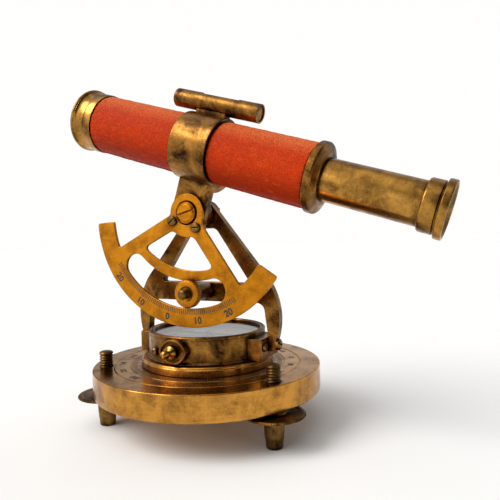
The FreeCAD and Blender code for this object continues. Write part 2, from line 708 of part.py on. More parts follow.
def sector_screws():
    """Two slotted screws through the sector into the bracket's ears."""
    screws = []
    y = CHEEK_FRONT_Y - SECTOR_THICKNESS
    for side, slot_angle in ((-1, 60), (1, 20)):
        spot = polar(SECTOR_SCREW_R, side * SECTOR_SCREW_ANGLE + SECTOR_TRIM, y)
        screws.append(placed(slotted_head(2.4, 1.7, 0.6, 0.8, slot_angle), spot, Y_AXIS * -1))
    return Part.makeCompound(screws)


def collar():
    edge = 0.3
    end = COLLAR_HALF_LENGTH
    return optical([(TUBE_R, -end), (COLLAR_R - edge, -end), (COLLAR_R, -end + edge), (COLLAR_R, end - edge),
                    (COLLAR_R - edge, end), (TUBE_R, end)])


def main_tube():
    return optical_ring(TUBE_R, TUBE_R - TUBE_WALL, LEATHER_FRONT_S - 1.0, LEATHER_REAR_S + 1.0)


def leather_sleeve(s0, s1):
    return optical_ring(LEATHER_R, TUBE_R, s0, s1)


def objective_bell():
    """Flared cap over the front of the tube, with a rolled lip."""
    s = LEATHER_FRONT_S
    seat = s - LENS_SEAT
    rear_r = LEATHER_R + 0.2
    outside = [(TUBE_R, s), (rear_r - 0.1, s), (rear_r, s - 3.0), (rear_r, s - 4.2), (14.6, s - 5.2),
               (14.7, s - 8.4), (15.2, s - 10.0), (BELL_R, s - 11.2), (BELL_R, s - 12.2),
               (BELL_R - 0.4, BELL_S)]
    inside = [(13.9, BELL_S), (13.3, BELL_S + 0.8), (LENS_R, seat), (LENS_STOP_R, seat),
              (LENS_STOP_R, s - 1.0), (TUBE_R, s - 1.0)]
    return optical(outside + inside)


def objective_lens():
    """Lens with a flat back and a curved front."""
    seat = LEATHER_FRONT_S - LENS_SEAT
    bulge = 1.2
    steps = 6
    profile = [(0, seat), (LENS_STOP_R, seat), (LENS_R, seat), (LENS_R, seat - LENS_EDGE)]
    for step in range(1, steps):
        r = LENS_R * (1 - step / steps)
        profile.append((r, seat - LENS_EDGE - bulge * (1 - (r / LENS_R) ** 2)))
    profile.append((0, seat - LENS_EDGE - bulge))
    return optical(profile)


def objective_ring():
    """Ring that holds the lens in its seat."""
    s = LEATHER_FRONT_S - LENS_SEAT - LENS_EDGE
    inner_r = LENS_R - 1.2
    return optical([(inner_r, s - 1.5), (LENS_R, s - 1.5), (LENS_R, s), (inner_r, s - 0.35)])


def end_ring():
    """Brass ring that closes the tube at the eyepiece end and guides the draw tube."""
    bore = DRAW_R + RUNNING_CLEARANCE
    s = LEATHER_REAR_S
    return optical([(TUBE_R, s), (END_RING_R - 0.4, s), (END_RING_R, s + 0.5), (END_RING_R, s + 3.0),
                    (END_RING_R - 0.5, s + 3.6), (12.0, s + 4.6), (11.4, END_RING_S), (bore, END_RING_S),
                    (bore, s - 9.0), (TUBE_R - TUBE_WALL, s - 9.0), (TUBE_R - TUBE_WALL, s + 1.0),
                    (TUBE_R, s + 1.0)])


def tube_stop():
    """Thin diaphragm that keeps stray light off the tube's wall."""
    return optical_ring(TUBE_R - TUBE_WALL, 8.0, -24.0, -22.8)


def draw_tube():
    return optical_ring(DRAW_R, DRAW_R - DRAW_WALL, DRAW_INNER_S, EYE_COLLAR_S + 6.0)


def draw_stop_ring():
    """Guide on the inner end of the draw tube, which also stops it pulling out."""
    r = TUBE_R - TUBE_WALL - RUNNING_CLEARANCE
    return optical_ring(r, DRAW_R, DRAW_INNER_S, DRAW_INNER_S + 5.0)


def eye_collar():
    """Plain collar with a bevelled start and a narrow neck behind the rim."""
    r = EYE_COLLAR_R
    s = EYE_COLLAR_S
    neck_r = r - 0.3
    return optical([(DRAW_R, s), (r - 0.8, s), (r, s + 0.9), (r, EYE_CUP_S - 0.9), (neck_r, EYE_CUP_S - 0.6),
                    (neck_r, EYE_CUP_S), (DRAW_R, EYE_CUP_S)])


def eye_cup():
    """Straight-sided eyepiece rim with a deep dished end."""
    s = EYE_CUP_S
    r = EYE_RIM_R
    eye_r = 6.0
    return optical([(eye_r, s), (r - 0.4, s), (r, s + 0.4), (r, EYE_RIM_S - 0.4), (r - 0.4, EYE_RIM_S),
                    (r - 1.1, EYE_RIM_S), (eye_r + 0.4, s + 0.9), (eye_r, s + 0.9)])


def eye_lens():
    s = EYE_COLLAR_S + 4.0
    bore = DRAW_R - DRAW_WALL
    return optical([(0, s), (bore, s), (bore, s + 1.4), (6.0, s + 1.9), (3.0, s + 2.3), (0, s + 2.5)])


def field_lens():
    s = EYE_COLLAR_S - 14.0
    bore = DRAW_R - DRAW_WALL
    return optical([(0, s), (3.0, s + 0.2), (6.0, s + 0.7), (bore, s + 1.2), (bore, s + 2.6), (0, s + 2.6)])


# ---- spirit level on the telescope's collar ----

def level_piece(profile):
    return placed(turned(profile), Vector(TUBE_S, TUBE_Y, LEVEL_H), X_AXIS)


def level_tube():
    """Brass tube with a window cut in its top."""
    tube = level_piece([(LEVEL_R - LEVEL_WALL, LEVEL_S0), (LEVEL_R, LEVEL_S0), (LEVEL_R, LEVEL_S1),
                        (LEVEL_R - LEVEL_WALL, LEVEL_S1)])
    window = Part.makeBox(21.0, 4.6, 6.0, Vector(TUBE_S - 8.0, TUBE_Y - 2.3, LEVEL_H + 1.5))
    return tube.cut(window)


def level_vial():
    r = LEVEL_R - LEVEL_WALL - 0.2
    start = LEVEL_S0 + 3.0
    end = LEVEL_S1 - 3.0
    return level_piece([(0, start), (r - 1.0, start), (r, start + 1.0), (r, end - 1.0), (r - 1.0, end),
                        (0, end)])


def level_front_cap():
    """Rounded plug in the level's front end."""
    r = LEVEL_R
    inner = LEVEL_R - LEVEL_WALL
    s = LEVEL_S0
    dome = [(r, s), (r - 0.3, s - 0.5), (r - 1.1, s - 0.9), (r - 2.2, s - 1.1), (0, s - 1.2)]
    return level_piece([(0, s + 2.0), (inner, s + 2.0), (inner, s)] + dome)


def level_rear_cap():
    inner = LEVEL_R - LEVEL_WALL
    s = LEVEL_S1
    return level_piece([(0, s - 2.4), (inner, s - 2.4), (inner, s - 0.5), (0, s - 0.5)])


def level_saddle():
    """Block between the collar and the level."""
    block = Part.makeBox(16.0, 5.0, 4.0, Vector(TUBE_S - 8.0, TUBE_Y - 2.5, TUBE_H + COLLAR_R - 1.0))
    collar_body = placed(Part.makeCylinder(COLLAR_R, 60), Vector(-30, TUBE_Y, TUBE_H), X_AXIS)
    level_body = placed(Part.makeCylinder(LEVEL_R, 60), Vector(-30, TUBE_Y, LEVEL_H), X_AXIS)
    return block.cut(collar_body).cut(level_body)


def main():
    os.makedirs("parts", exist_ok=True)
    export("base_plate", base_plate())
    export("centre_spindle", centre_spindle())
    export("spindle_washer", spindle_washer())
    export("spindle_screw", spindle_screw())
    for number, (x, y) in enumerate(screw_places(), start=1):
        export("levelling_screw_%d" % number, placed(levelling_screw(), Vector(x, y, 0)))
        export("levelling_knob_%d" % number, placed(levelling_knob(), Vector(x, y, 0)))
    fixed = [turntable, compass_housing, compass_bezel, compass_glass, compass_dial, needle_pivot,
             compass_needle, needle_cap, standard_frame, lug_screws, azimuth_boss, azimuth_clamp_screw,
             housing_screw, pivot_spacer, pivot_screw, pivot_nut, pivot_washer, clamp_stud, clamp_sleeve,
             clamp_knob]
    for make in fixed:
        export(make.__name__, make())
    for name, side in (("left", -1), ("right", 1)):
        export("lug_" + name, lug(side))
        export("frame_screw_" + name, frame_foot_screw(side))
    telescope = [trunnion_bracket, sector, sector_screws, collar, main_tube, objective_bell,
                 objective_lens, objective_ring, end_ring, tube_stop, draw_tube, draw_stop_ring, eye_collar,
                 eye_cup, eye_lens, field_lens, level_tube, level_vial, level_front_cap, level_rear_cap,
                 level_saddle]
    for make in telescope:
        export(make.__name__, tilted(make()))
    export("leather_front", tilted(leather_sleeve(LEATHER_FRONT_S, -COLLAR_HALF_LENGTH)))
    export("leather_rear", tilted(leather_sleeve(COLLAR_HALF_LENGTH, LEATHER_REAR_S)))


main()
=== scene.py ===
import json
import math

import bmesh
import bpy
from mathutils import Matrix, Vector, noise


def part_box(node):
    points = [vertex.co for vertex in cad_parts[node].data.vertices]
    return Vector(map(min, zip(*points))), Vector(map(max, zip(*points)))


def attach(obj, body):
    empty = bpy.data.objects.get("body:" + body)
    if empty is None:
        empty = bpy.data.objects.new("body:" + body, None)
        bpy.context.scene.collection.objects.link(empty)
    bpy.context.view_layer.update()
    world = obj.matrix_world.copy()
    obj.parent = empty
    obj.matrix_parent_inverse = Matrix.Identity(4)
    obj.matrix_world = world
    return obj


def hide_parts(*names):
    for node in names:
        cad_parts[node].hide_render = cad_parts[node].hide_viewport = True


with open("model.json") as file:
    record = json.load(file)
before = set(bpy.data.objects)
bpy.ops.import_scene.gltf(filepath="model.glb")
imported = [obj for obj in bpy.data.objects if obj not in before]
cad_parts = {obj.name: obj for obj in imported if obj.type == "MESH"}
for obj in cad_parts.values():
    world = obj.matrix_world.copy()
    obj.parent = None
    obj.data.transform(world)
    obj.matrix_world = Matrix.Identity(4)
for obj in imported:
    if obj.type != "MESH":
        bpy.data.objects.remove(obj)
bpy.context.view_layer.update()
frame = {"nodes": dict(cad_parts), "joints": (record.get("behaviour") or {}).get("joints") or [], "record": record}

# Brass sighting telescope on its compass stand, built round the CAD frame.
# Shapes are drawn in millimetres on their own axes, and scaled to metres when they are placed.
MM = 0.001
SEGMENTS = 160
Z_TO_X = Matrix.Rotation(math.radians(90), 4, "Y")
Z_TO_FRONT = Matrix.Rotation(math.radians(90), 4, "X")
UP = Vector((0, 0, 1))


# ---- places and sizes read from the frame ----

def centre_mm(node):
    low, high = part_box(node)
    return (low + high) / 2 / MM


def extent(node, place):
    """Lowest and highest corner of a CAD node on the axes of place, in millimetres."""
    inverse = place.inverted()
    points = [inverse @ (v.co / MM) for v in frame["nodes"][node].data.vertices]
    low = Vector([min(p[i] for p in points) for i in range(3)])
    high = Vector([max(p[i] for p in points) for i in range(3)])
    return low, high


def turned_size(node, place):
    """Radius, start and end of a turned CAD node along the Z axis of place, in millimetres."""
    low, high = extent(node, place)
    return (high.x - low.x) / 2, low.z, high.z


slide_axis = next(j for j in frame["joints"] if j["name"] == "draw_slide")["axis"]
TILT = math.atan2(-slide_axis[2], slide_axis[0])
PIVOT = centre_mm("pivot_washer")
PIVOT.y = 0.0
STAND = Matrix.Identity(4)
LEVEL_FRAME = Matrix.Translation(PIVOT) @ Matrix.Rotation(TILT, 4, "Y")
TUBE_CENTRE = LEVEL_FRAME.inverted() @ centre_mm("collar")
OPTICAL = LEVEL_FRAME @ Matrix.Translation(TUBE_CENTRE) @ Z_TO_X
LEVEL_CENTRE = LEVEL_FRAME.inverted() @ centre_mm("level_tube")
LEVEL_AXIS = LEVEL_FRAME @ Matrix.Translation((TUBE_CENTRE.x, LEVEL_CENTRE.y, LEVEL_CENTRE.z)) @ Z_TO_X


# ---- outlines ----

def arc(centre, radius, start, end, step=3.0):
    """Points on a circle, from one angle to another, in degrees."""
    count = max(2, int(abs(end - start) / step))
    turns = [math.radians(start + (end - start) * i / count) for i in range(count + 1)]
    return [(centre[0] + radius * math.cos(t), centre[1] + radius * math.sin(t)) for t in turns]


def arc_through(a, b, c):
    """Points on the arc from a through b to c."""
    a, b, c = Vector(a), Vector(b), Vector(c)
    d = 2 * (a.x * (b.y - c.y) + b.x * (c.y - a.y) + c.x * (a.y - b.y))
    x = (a.length_squared * (b.y - c.y) + b.length_squared * (c.y - a.y) + c.length_squared * (a.y - b.y)) / d
    y = (a.length_squared * (c.x - b.x) + b.length_squared * (a.x - c.x) + c.length_squared * (b.x - a.x)) / d
    start = math.degrees(math.atan2(a.y - y, a.x - x))
    middle = math.degrees(math.atan2(b.y - y, b.x - x))
    end = math.degrees(math.atan2(c.y - y, c.x - x))
    if not min(start, end) <= middle <= max(start, end):
        end += 360 if end < start else -360
    return arc((x, y), (a - Vector((x, y))).length, start, end)


def walk(points, start, step, reach):
    """The place on a closed outline at a distance from one of its points, and the points passed."""
    passed = []
    here = points[start]
    i = start
    while True:
        i = (i + step) % len(points)
        gap = (points[i] - here).length
        if gap >= reach:
            return here.lerp(points[i], reach / gap), passed
        reach -= gap
        passed.append(i)
        here = points[i]


def eased(outline, reach, sharp=22.0, steps=4):
    """A closed outline with its sharp corners rounded. Corners on the axis, at x = 0, stay."""
    points = [Vector(p) for p in outline]
    # On a dense outline the rounding of a corner may pass several short sides.
    dense = len(points) > 24
    shortest = 0.3
    share = 0.45
    corners = {}
    dropped = set()
    for i, here in enumerate(points):
        before = here - points[i - 1]
        after = points[(i + 1) % len(points)] - here
        if abs(here.x) < 1e-6 or min(before.length, after.length) < 1e-9:
            continue
        if math.degrees(before.angle(after)) < sharp:
            continue
        room = reach
        if not dense:
            room = min(reach, share * max(before.length, shortest), share * max(after.length, shortest))
        start, passed_back = walk(points, i, -1, room)
        end, passed_on = walk(points, i, 1, room)
        dropped.update(passed_back)
        dropped.update(passed_on)
        corner = []
        for step in range(steps + 1):
            t = step / steps
            corner.append(start.lerp(here, t).lerp(here.lerp(end, t), t))
        corners[i] = corner
    result = []
    for i, here in enumerate(points):
        if i in corners:
            result.extend(corners[i])
        elif i not in dropped:
            result.append(here)
    return [tuple(p) for p in result]


# ---- meshes ----

def lathe(outline, segments=SEGMENTS, shape=None):
    """Mesh turned about Z from a closed (radius, height) outline. shape may change each point's radius."""
    bm = bmesh.new()
    grain = bm.verts.layers.float_vector.new("grain")
    rings = []
    for radius, height in outline:
        if radius < 1e-6:
            vert = bm.verts.new((0, 0, height))
            vert[grain] = (0, 0, height)
            rings.append([vert] * segments)
            continue
        row = []
        for j in range(segments):
            turn = 2 * math.pi * j / segments
            r = shape(radius, height, turn) if shape else radius
            vert = bm.verts.new((r * math.cos(turn), r * math.sin(turn), height))
            vert[grain] = (0.6 * math.cos(turn), 0.6 * math.sin(turn), radius + height)
            row.append(vert)
        rings.append(row)
    for i, row in enumerate(rings):
        following = rings[(i + 1) % len(rings)]
        for j in range(segments):
            k = (j + 1) % segments
            corners = []
            for vert in (row[j], row[k], following[k], following[j]):
                if vert not in corners:
                    corners.append(vert)
            if len(corners) > 2:
                bm.faces.new(corners)
    bmesh.ops.recalc_face_normals(bm, faces=bm.faces)
    return to_mesh(bm)


def to_mesh(bm):
    mesh = bpy.data.meshes.new("piece")
    bm.to_mesh(mesh)
    bm.free()
    return mesh


def mesh_of(curve):
    """The mesh that a curve or text makes, with the curve removed."""
    holder = bpy.data.objects.new("holder", curve)
    bpy.context.scene.collection.objects.link(holder)
    bpy.context.view_layer.update()
    mesh = bpy.data.meshes.new_from_object(holder.evaluated_get(bpy.context.evaluated_depsgraph_get()))
    bpy.data.objects.remove(holder)
    bpy.data.curves.remove(curve)
    return mesh


def plate(outline, holes, thickness, bevel=0.22):
    """Flat plate with rounded edges, from an (x, z) outline. Its front is at y = 0."""
    curve = bpy.data.curves.new("outline", "CURVE")
    curve.dimensions = "2D"
    curve.fill_mode = "BOTH"
    curve.extrude = thickness / 2 - bevel
    curve.bevel_depth = bevel
    curve.bevel_resolution = 2
    curve.offset = -bevel
    for loop in [outline] + holes:
        spline = curve.splines.new("POLY")
        spline.points.add(len(loop) - 1)
        for point, (x, z) in zip(spline.points, loop):
            point.co = (x, z, 0, 1)
        spline.use_cyclic_u = True
    mesh = mesh_of(curve)
    bm = bmesh.new()
    bm.from_mesh(mesh)
    bpy.data.meshes.remove(mesh)
    bmesh.ops.remove_doubles(bm, verts=bm.verts, dist=1e-4)
    bmesh.ops.transform(bm, matrix=Matrix.Translation((0, thickness / 2, 0)) @ Z_TO_FRONT, verts=bm.verts)
    bmesh.ops.recalc_face_normals(bm, faces=bm.faces)
    grain = bm.verts.layers.float_vector.new("grain")
    for vert in bm.verts:
        vert[grain] = (0.04 * vert.co.x, 0.04 * vert.co.z, 0.8 * vert.co.z - 0.5 * vert.co.x)
    return to_mesh(bm)


def joined(meshes):
    """One mesh from several."""
    bm = bmesh.new()
    for mesh in meshes:
        bm.from_mesh(mesh)
        bpy.data.meshes.remove(mesh)
    return to_mesh(bm)


def bar(width, length, height, place):
    """Thin block centred on its own origin: width along X, length along Y."""
    bm = bmesh.new()
    bmesh.ops.create_cube(bm, size=1)
    bmesh.ops.scale(bm, vec=(width, length, height), verts=bm.verts)
    bmesh.ops.transform(bm, matrix=place, verts=bm.verts)
    return to_mesh(bm)


def numeral(text, size, height, place):
    """Number with its strokes made bolder than the font's."""
    curve = bpy.data.curves.new("numeral", "FONT")
    curve.body = text
    curve.size = size
    curve.align_x = "CENTER"
    curve.align_y = "CENTER"
    curve.extrude = height / 2
    curve.offset = 0.035 * size
    mesh = mesh_of(curve)
    mesh.transform(place)
    return mesh


def put(name, mesh, place, body, slot, *nodes, sharp=38.0):
    """A finished piece: scaled to metres, smooth except at its sharp edges, riding on its body."""
    mesh.transform(Matrix.Scale(MM, 4) @ place)
    mesh.name = name
    mesh.polygons.foreach_set("use_smooth", [True] * len(mesh.polygons))
    mesh.set_sharp_from_angle(angle=math.radians(sharp))
    mesh.materials.clear()
    mesh.materials.append(MATERIALS[slot])
    piece = bpy.data.objects.new(name, mesh)
    bpy.context.scene.collection.objects.link(piece)
    weighted = piece.modifiers.new("weighted", "WEIGHTED_NORMAL")
    weighted.keep_sharp = True
    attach(piece, body)
    if nodes:
        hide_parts(*nodes)
    return piece


# ---- materials ----

def add(tree, kind, settings=None, **inputs):
    made = tree.nodes.new("ShaderNode" + kind)
    for key, value in (settings or {}).items():
        setattr(made, key, value)
    for key, value in inputs.items():
        connect(tree, made.inputs[key.replace("_", " ")], value)
    return made


def connect(tree, socket, value):
    if isinstance(value, bpy.types.NodeSocket):
        tree.links.new(value, socket)
    else:
        socket.default_value = value


def calc(tree, operation, a, b, clamp=False):
    made = add(tree, "Math", {"operation": operation, "use_clamp": clamp})
    connect(tree, made.inputs[0], a)
    connect(tree, made.inputs[1], b)
    return made.outputs[0]


def blend(tree, factor, a, b):
    """Colour a where factor is 0, and b where it is 1."""
    made = add(tree, "Mix", {"data_type": "RGBA"})
    connect(tree, made.inputs["Factor"], factor)
    connect(tree, made.inputs[6], a)
    connect(tree, made.inputs[7], b)
    return made.outputs[2]


def ramp(tree, value, low, high):
    """0 below low, 1 above high."""
    settings = {"interpolation_type": "SMOOTHSTEP"}
    return add(tree, "MapRange", settings, Value=value, From_Min=low, From_Max=high).outputs["Result"]


def scaled(tree, value, slope, offset=0.0):
    """slope * value + offset."""
    made = add(tree, "Math", {"operation": "MULTIPLY_ADD"})
    connect(tree, made.inputs[0], value)
    connect(tree, made.inputs[1], slope)
    connect(tree, made.inputs[2], offset)
    return made.outputs[0]


def total(tree, *values):
    """Sum of the values."""
    result = values[0]
    for value in values[1:]:
        result = calc(tree, "ADD", result, value)
    return result


def shade_of(colour, share):
    """A darker shade of a colour."""
    return tuple(share * c for c in colour[:3]) + (1,)


def millimetres(tree):
    """Position on the object, in millimetres."""
    coordinate = add(tree, "TexCoord").outputs["Object"]
    return add(tree, "VectorMath", {"operation": "SCALE"}, Vector=coordinate, Scale=1000.0).outputs["Vector"]


def noise_of(tree, vector, scale, detail=4.0, roughness=0.6, distortion=0.0):
    return add(tree, "TexNoise", None, Vector=vector, Scale=scale, Detail=detail, Roughness=roughness,
               Distortion=distortion).outputs["Fac"]


def new_material(name):
    material = bpy.data.materials.new(name)
    material.use_nodes = True
    tree = material.node_tree
    return material, tree, tree.nodes["Principled BSDF"]


def brass(name, bright, brown, age, rough, streak=0.5):
    """Aged brass: lathe streaks, brown patina in blotches and corners, polished edges, fine pits."""
    material, tree, shader = new_material(name)
    place = millimetres(tree)
    blotch = noise_of(tree, place, 0.11, 5.0, 0.62, 0.6)
    speckle = noise_of(tree, place, 0.9, 4.0, 0.7)
    grain = add(tree, "Attribute", {"attribute_name": "grain"}).outputs["Vector"]
    fine = noise_of(tree, grain, 7.0, 3.0, 0.7)
    band = noise_of(tree, grain, 1.1, 2.0, 0.5)
    open_air = add(tree, "AmbientOcclusion", {"samples": 6}, Distance=2.6 * MM).outputs["AO"]
    rounded = add(tree, "Bevel", {"samples": 4}, Radius=0.28 * MM).outputs["Normal"]
    flat = add(tree, "VectorMath", {"operation": "DOT_PRODUCT"})
    connect(tree, flat.inputs[0], rounded)
    connect(tree, flat.inputs[1], add(tree, "NewGeometry").outputs["Normal"])
    edge = scaled(tree, ramp(tree, flat.outputs["Value"], 0.86, 0.995), -1.0, 1.0)
    worn = scaled(tree, edge, 0.35)
    patina = total(tree, scaled(tree, blotch, 2.4, age - 1.35), scaled(tree, speckle, 0.8, -0.4),
                   scaled(tree, fine, streak, -0.5 * streak), scaled(tree, open_air, -1.1, 1.1))
    tarnish = calc(tree, "SUBTRACT", patina, worn, clamp=True)
    colour = blend(tree, tarnish, blend(tree, band, shade_of(bright, 0.86), bright), brown)
    pits = ramp(tree, noise_of(tree, place, 2.6, 3.0, 0.65), 0.66, 0.74)
    colour = blend(tree, scaled(tree, pits, 0.5), colour, shade_of(brown, 0.35))
    connect(tree, shader.inputs["Base Color"], colour)
    shader.inputs["Metallic"].default_value = 1.0
    roughness = total(tree, scaled(tree, tarnish, 0.2, rough), scaled(tree, fine, 0.16, -0.08))
    connect(tree, shader.inputs["Roughness"], roughness)
    relief = total(tree, scaled(tree, fine, 0.5 * streak), scaled(tree, speckle, 0.3),
                   scaled(tree, pits, -0.5))
    bump = add(tree, "Bump", None, Strength=0.5, Distance=0.03 * MM, Height=relief, Normal=rounded)
    connect(tree, shader.inputs["Normal"], bump.outputs["Normal"])
    return material


def leather():
    """Red leather: creased, with a painted highlight along the top, painted shade underneath and painted shade
    where other parts close in on it.
    """
    material, tree, shader = new_material("leather")
    place = millimetres(tree)
    turn = add(tree, "VectorRotate", {"rotation_type": "Y_AXIS"}, Vector=place, Angle=-TILT)
    turned = turn.outputs["Vector"]
    along = add(tree, "Mapping", None, Vector=turned, Scale=(0.55, 1.0, 1.0)).outputs["Vector"]
    cells = add(tree, "TexVoronoi", {"feature": "DISTANCE_TO_EDGE"}, Vector=along, Scale=1.25,
                Randomness=0.95)
    crease = ramp(tree, cells.outputs["Distance"], 0.0, 0.16)
    folds = noise_of(tree, along, 0.55, 6.0, 0.62, 0.8)
    cloud = noise_of(tree, place, 0.07, 4.0, 0.6)
    fibre = noise_of(tree, along, 3.2, 4.0, 0.7)
    colour = blend(tree, scaled(tree, cloud, 0.9, -0.05), (0.46, 0.026, 0.0012, 1), (0.68, 0.056, 0.0022, 1))
    height = add(tree, "SeparateXYZ", None, Vector=turned).outputs["Z"]
    axis_height = (LEVEL_FRAME.to_3x3().inverted() @ centre_mm("collar")).z
    # Painted highlight: the leather is made lighter and pinker towards the top of the tube.
    painted_top_highlight = scaled(tree, ramp(tree, height, axis_height + 5.5, axis_height + 14.5), 0.75)
    colour = blend(tree, painted_top_highlight, colour, (0.88, 0.22, 0.065, 1))
    # Painted shade: the leather is made darker towards the underside of the tube.
    painted_underside_shade = scaled(tree, ramp(tree, height, axis_height - 1.0, axis_height - 12.0), 0.6)
    colour = blend(tree, painted_underside_shade, colour, (0.18, 0.009, 0.0005, 1))
    raised = scaled(tree, ramp(tree, folds, 0.5, 0.8), 0.5)
    colour = blend(tree, raised, colour, (0.88, 0.115, 0.009, 1))
    colour = blend(tree, scaled(tree, crease, -0.55, 0.55), colour, (0.2, 0.014, 0.003, 1))
    scuff = ramp(tree, noise_of(tree, along, 0.9, 5.0, 0.72, 1.2), 0.64, 0.72)
    colour = blend(tree, scaled(tree, scuff, 0.22), colour, (0.90, 0.22, 0.06, 1))
    # Painted shade: the leather is made nearly black where nearby parts enclose it.
    open_air = add(tree, "AmbientOcclusion", {"samples": 6}, Distance=1.6 * MM).outputs["AO"]
    corner = scaled(tree, ramp(tree, open_air, 0.25, 0.8), -1.0, 1.0)
    colour = blend(tree, corner, colour, (0.09, 0.008, 0.004, 1))
    connect(tree, shader.inputs["Base Color"], colour)
    connect(tree, shader.inputs["Roughness"], scaled(tree, fibre, 0.25, 0.36))
    shader.inputs["Specular IOR Level"].default_value = 0.06
    relief = total(tree, scaled(tree, crease, 0.55), scaled(tree, folds, 0.8), scaled(tree, fibre, 0.22))
    bump = add(tree, "Bump", None, Strength=0.75, Distance=0.16 * MM, Height=relief)
    connect(tree, shader.inputs["Normal"], bump.outputs["Normal"])
    return material


def glass(name, tint, rough):
    material, tree, shader = new_material(name)
    smear = noise_of(tree, millimetres(tree), 0.2, 3.0, 0.6)
    connect(tree, shader.inputs["Roughness"], scaled(tree, smear, 0.05, rough))
    shader.inputs["Base Color"].default_value = tint
    shader.inputs["Transmission Weight"].default_value = 1.0
    shader.inputs["IOR"].default_value = 1.5
    return material


def paper(name, light, dark):
    """Dial face: pale enamel with age spots."""
    material, tree, shader = new_material(name)
    place = millimetres(tree)
    cloud = noise_of(tree, place, 0.14, 5.0, 0.65)
    spots = ramp(tree, noise_of(tree, place, 1.3, 3.0, 0.7), 0.66, 0.78)
    colour = blend(tree, scaled(tree, spots, 0.25), blend(tree, cloud, light, dark), shade_of(dark, 0.5))
    connect(tree, shader.inputs["Base Color"], colour)
    shader.inputs["Roughness"].default_value = 0.45
    return material


def black(name):
    """Marking wax and blackened inside surfaces."""
    material, tree, shader = new_material(name)
    dust = noise_of(tree, millimetres(tree), 0.8, 5.0, 0.7)
    colour = blend(tree, dust, (0.008, 0.006, 0.004, 1), (0.045, 0.03, 0.016, 1))
    connect(tree, shader.inputs["Base Color"], colour)
    connect(tree, shader.inputs["Roughness"], scaled(tree, dust, 0.3, 0.45))
    return material


MATERIALS = {
    "base_brass": brass("base_brass", (0.62, 0.29, 0.052, 1), (0.11, 0.042, 0.010, 1), 0.38, 0.17, 0.7),
    "dark_brass": brass("dark_brass", (0.42, 0.19, 0.036, 1), (0.026, 0.011, 0.004, 1), 0.70, 0.20),
    "gold_brass": brass("gold_brass", (0.56, 0.21, 0.010, 1), (0.15, 0.048, 0.005, 1), 0.40, 0.30, 0.5),
    "tube_brass": brass("tube_brass", (0.52, 0.26, 0.050, 1), (0.045, 0.019, 0.006, 1), 0.54, 0.16, 0.9),
    "screw_metal": brass("screw_metal", (0.34, 0.18, 0.048, 1), (0.024, 0.012, 0.005, 1), 0.70, 0.28),
    "leather": leather(),
    "dial_face": paper("dial_face", (0.80, 0.79, 0.74, 1), (0.66, 0.64, 0.56, 1)),
    "needle_steel": brass("needle_steel", (0.16, 0.19, 0.26, 1), (0.03, 0.04, 0.07, 1), 0.4, 0.25),
    "glass": glass("glass", (0.97, 0.985, 0.975, 1), 0.02),
    "black_inside": black("black_inside"),
}


# ---- base and levelling screws ----

GROOVE_RADII = (39.0, 46.9)
GROOVE_WIDTH = 0.7
GROOVE_DEPTH = 0.45
BASE_R, BASE_BOTTOM, BASE_TOP = turned_size("base_plate", STAND)
MARK_HEIGHT = 0.03


def bored(mesh, places, radius, low, high):
    """The mesh with round holes along Z through it."""
    body = bpy.data.objects.new("bored", mesh)
    bpy.context.scene.collection.objects.link(body)
    drills = []
    for x, y in places:
        drill = bpy.data.objects.new("drill", lathe([(0, low), (radius, low), (radius, high), (0, high)], 48))
        drill.location = (x, y, 0)
        bpy.context.scene.collection.objects.link(drill)
        cut = body.modifiers.new("cut", "BOOLEAN")
        cut.operation = "DIFFERENCE"
        cut.solver = "EXACT"
        cut.object = drill
        drills.append(drill)
    bpy.context.view_layer.update()
    result = bpy.data.meshes.new_from_object(body.evaluated_get(bpy.context.evaluated_depsgraph_get()))
    for obj in drills + [body]:
        bpy.data.objects.remove(obj)
    return result


def screw_places():
    """Axis of each levelling screw, in millimetres."""
    centres = [centre_mm("levelling_screw_%d" % number) for number in (1, 2, 3)]
    return [(c.x, c.y) for c in centres]


def base_plate():
    spindle_r = turned_size("centre_spindle", STAND)[0] - 3.0
    outline = [(spindle_r, BASE_BOTTOM), (BASE_R, BASE_BOTTOM), (BASE_R, BASE_TOP)]
    for radius in reversed(GROOVE_RADII):
        outline.append((radius + GROOVE_WIDTH / 2, BASE_TOP))
        outline.append((radius, BASE_TOP - GROOVE_DEPTH))
        outline.append((radius - GROOVE_WIDTH / 2, BASE_TOP))
    outline.append((spindle_r, BASE_TOP))
    mesh = lathe(eased(outline, 0.55), 256)
    screw_r = 3.45
    mesh = bored(mesh, screw_places(), screw_r, BASE_BOTTOM - 1, BASE_TOP + 1)
    put("base_plate_turned", mesh, STAND, "base", "base_brass", "base_plate")


def base_scale():
    """Degree marks inside the inner groove, and numbers between the two grooves."""
    tick_start = 34.0
    tick_end = 38.2
    tick_width = 0.5
    number_r = sum(GROOVE_RADII) / 2
    number_size = 3.9
    marks = []
    for degree in range(0, 360, 2):
        start = tick_start if degree % 10 == 0 else tick_start + 1.6
        turn = Matrix.Rotation(math.radians(degree), 4, "Z")
        middle = Matrix.Translation((0, (start + tick_end) / 2, BASE_TOP))
        marks.append(bar(tick_width, tick_end - start, MARK_HEIGHT, turn @ middle))
    for degree in range(0, 360, 20):
        turn = Matrix.Rotation(math.radians(-degree), 4, "Z")
        place = turn @ Matrix.Translation((0, number_r, BASE_TOP))
        marks.append(numeral(str(degree), number_size, MARK_HEIGHT, place))
    put("base_scale", joined(marks), STAND, "base", "black_inside")


def threaded(radius, depth, pitch, low, high):
    """A lathe shape function for a screw thread between two heights."""
    def shape(r, height, turn):
        if r < radius - 0.02 or height < low or height > high:
            return r
        phase = (height / pitch - turn / (2 * math.pi)) % 1.0
        fade = min(1.0, (height - low) / (0.6 * pitch), (high - height) / (0.6 * pitch))
        return r - depth * fade * (1 - abs(2 * phase - 1)) ** 0.8
    return shape


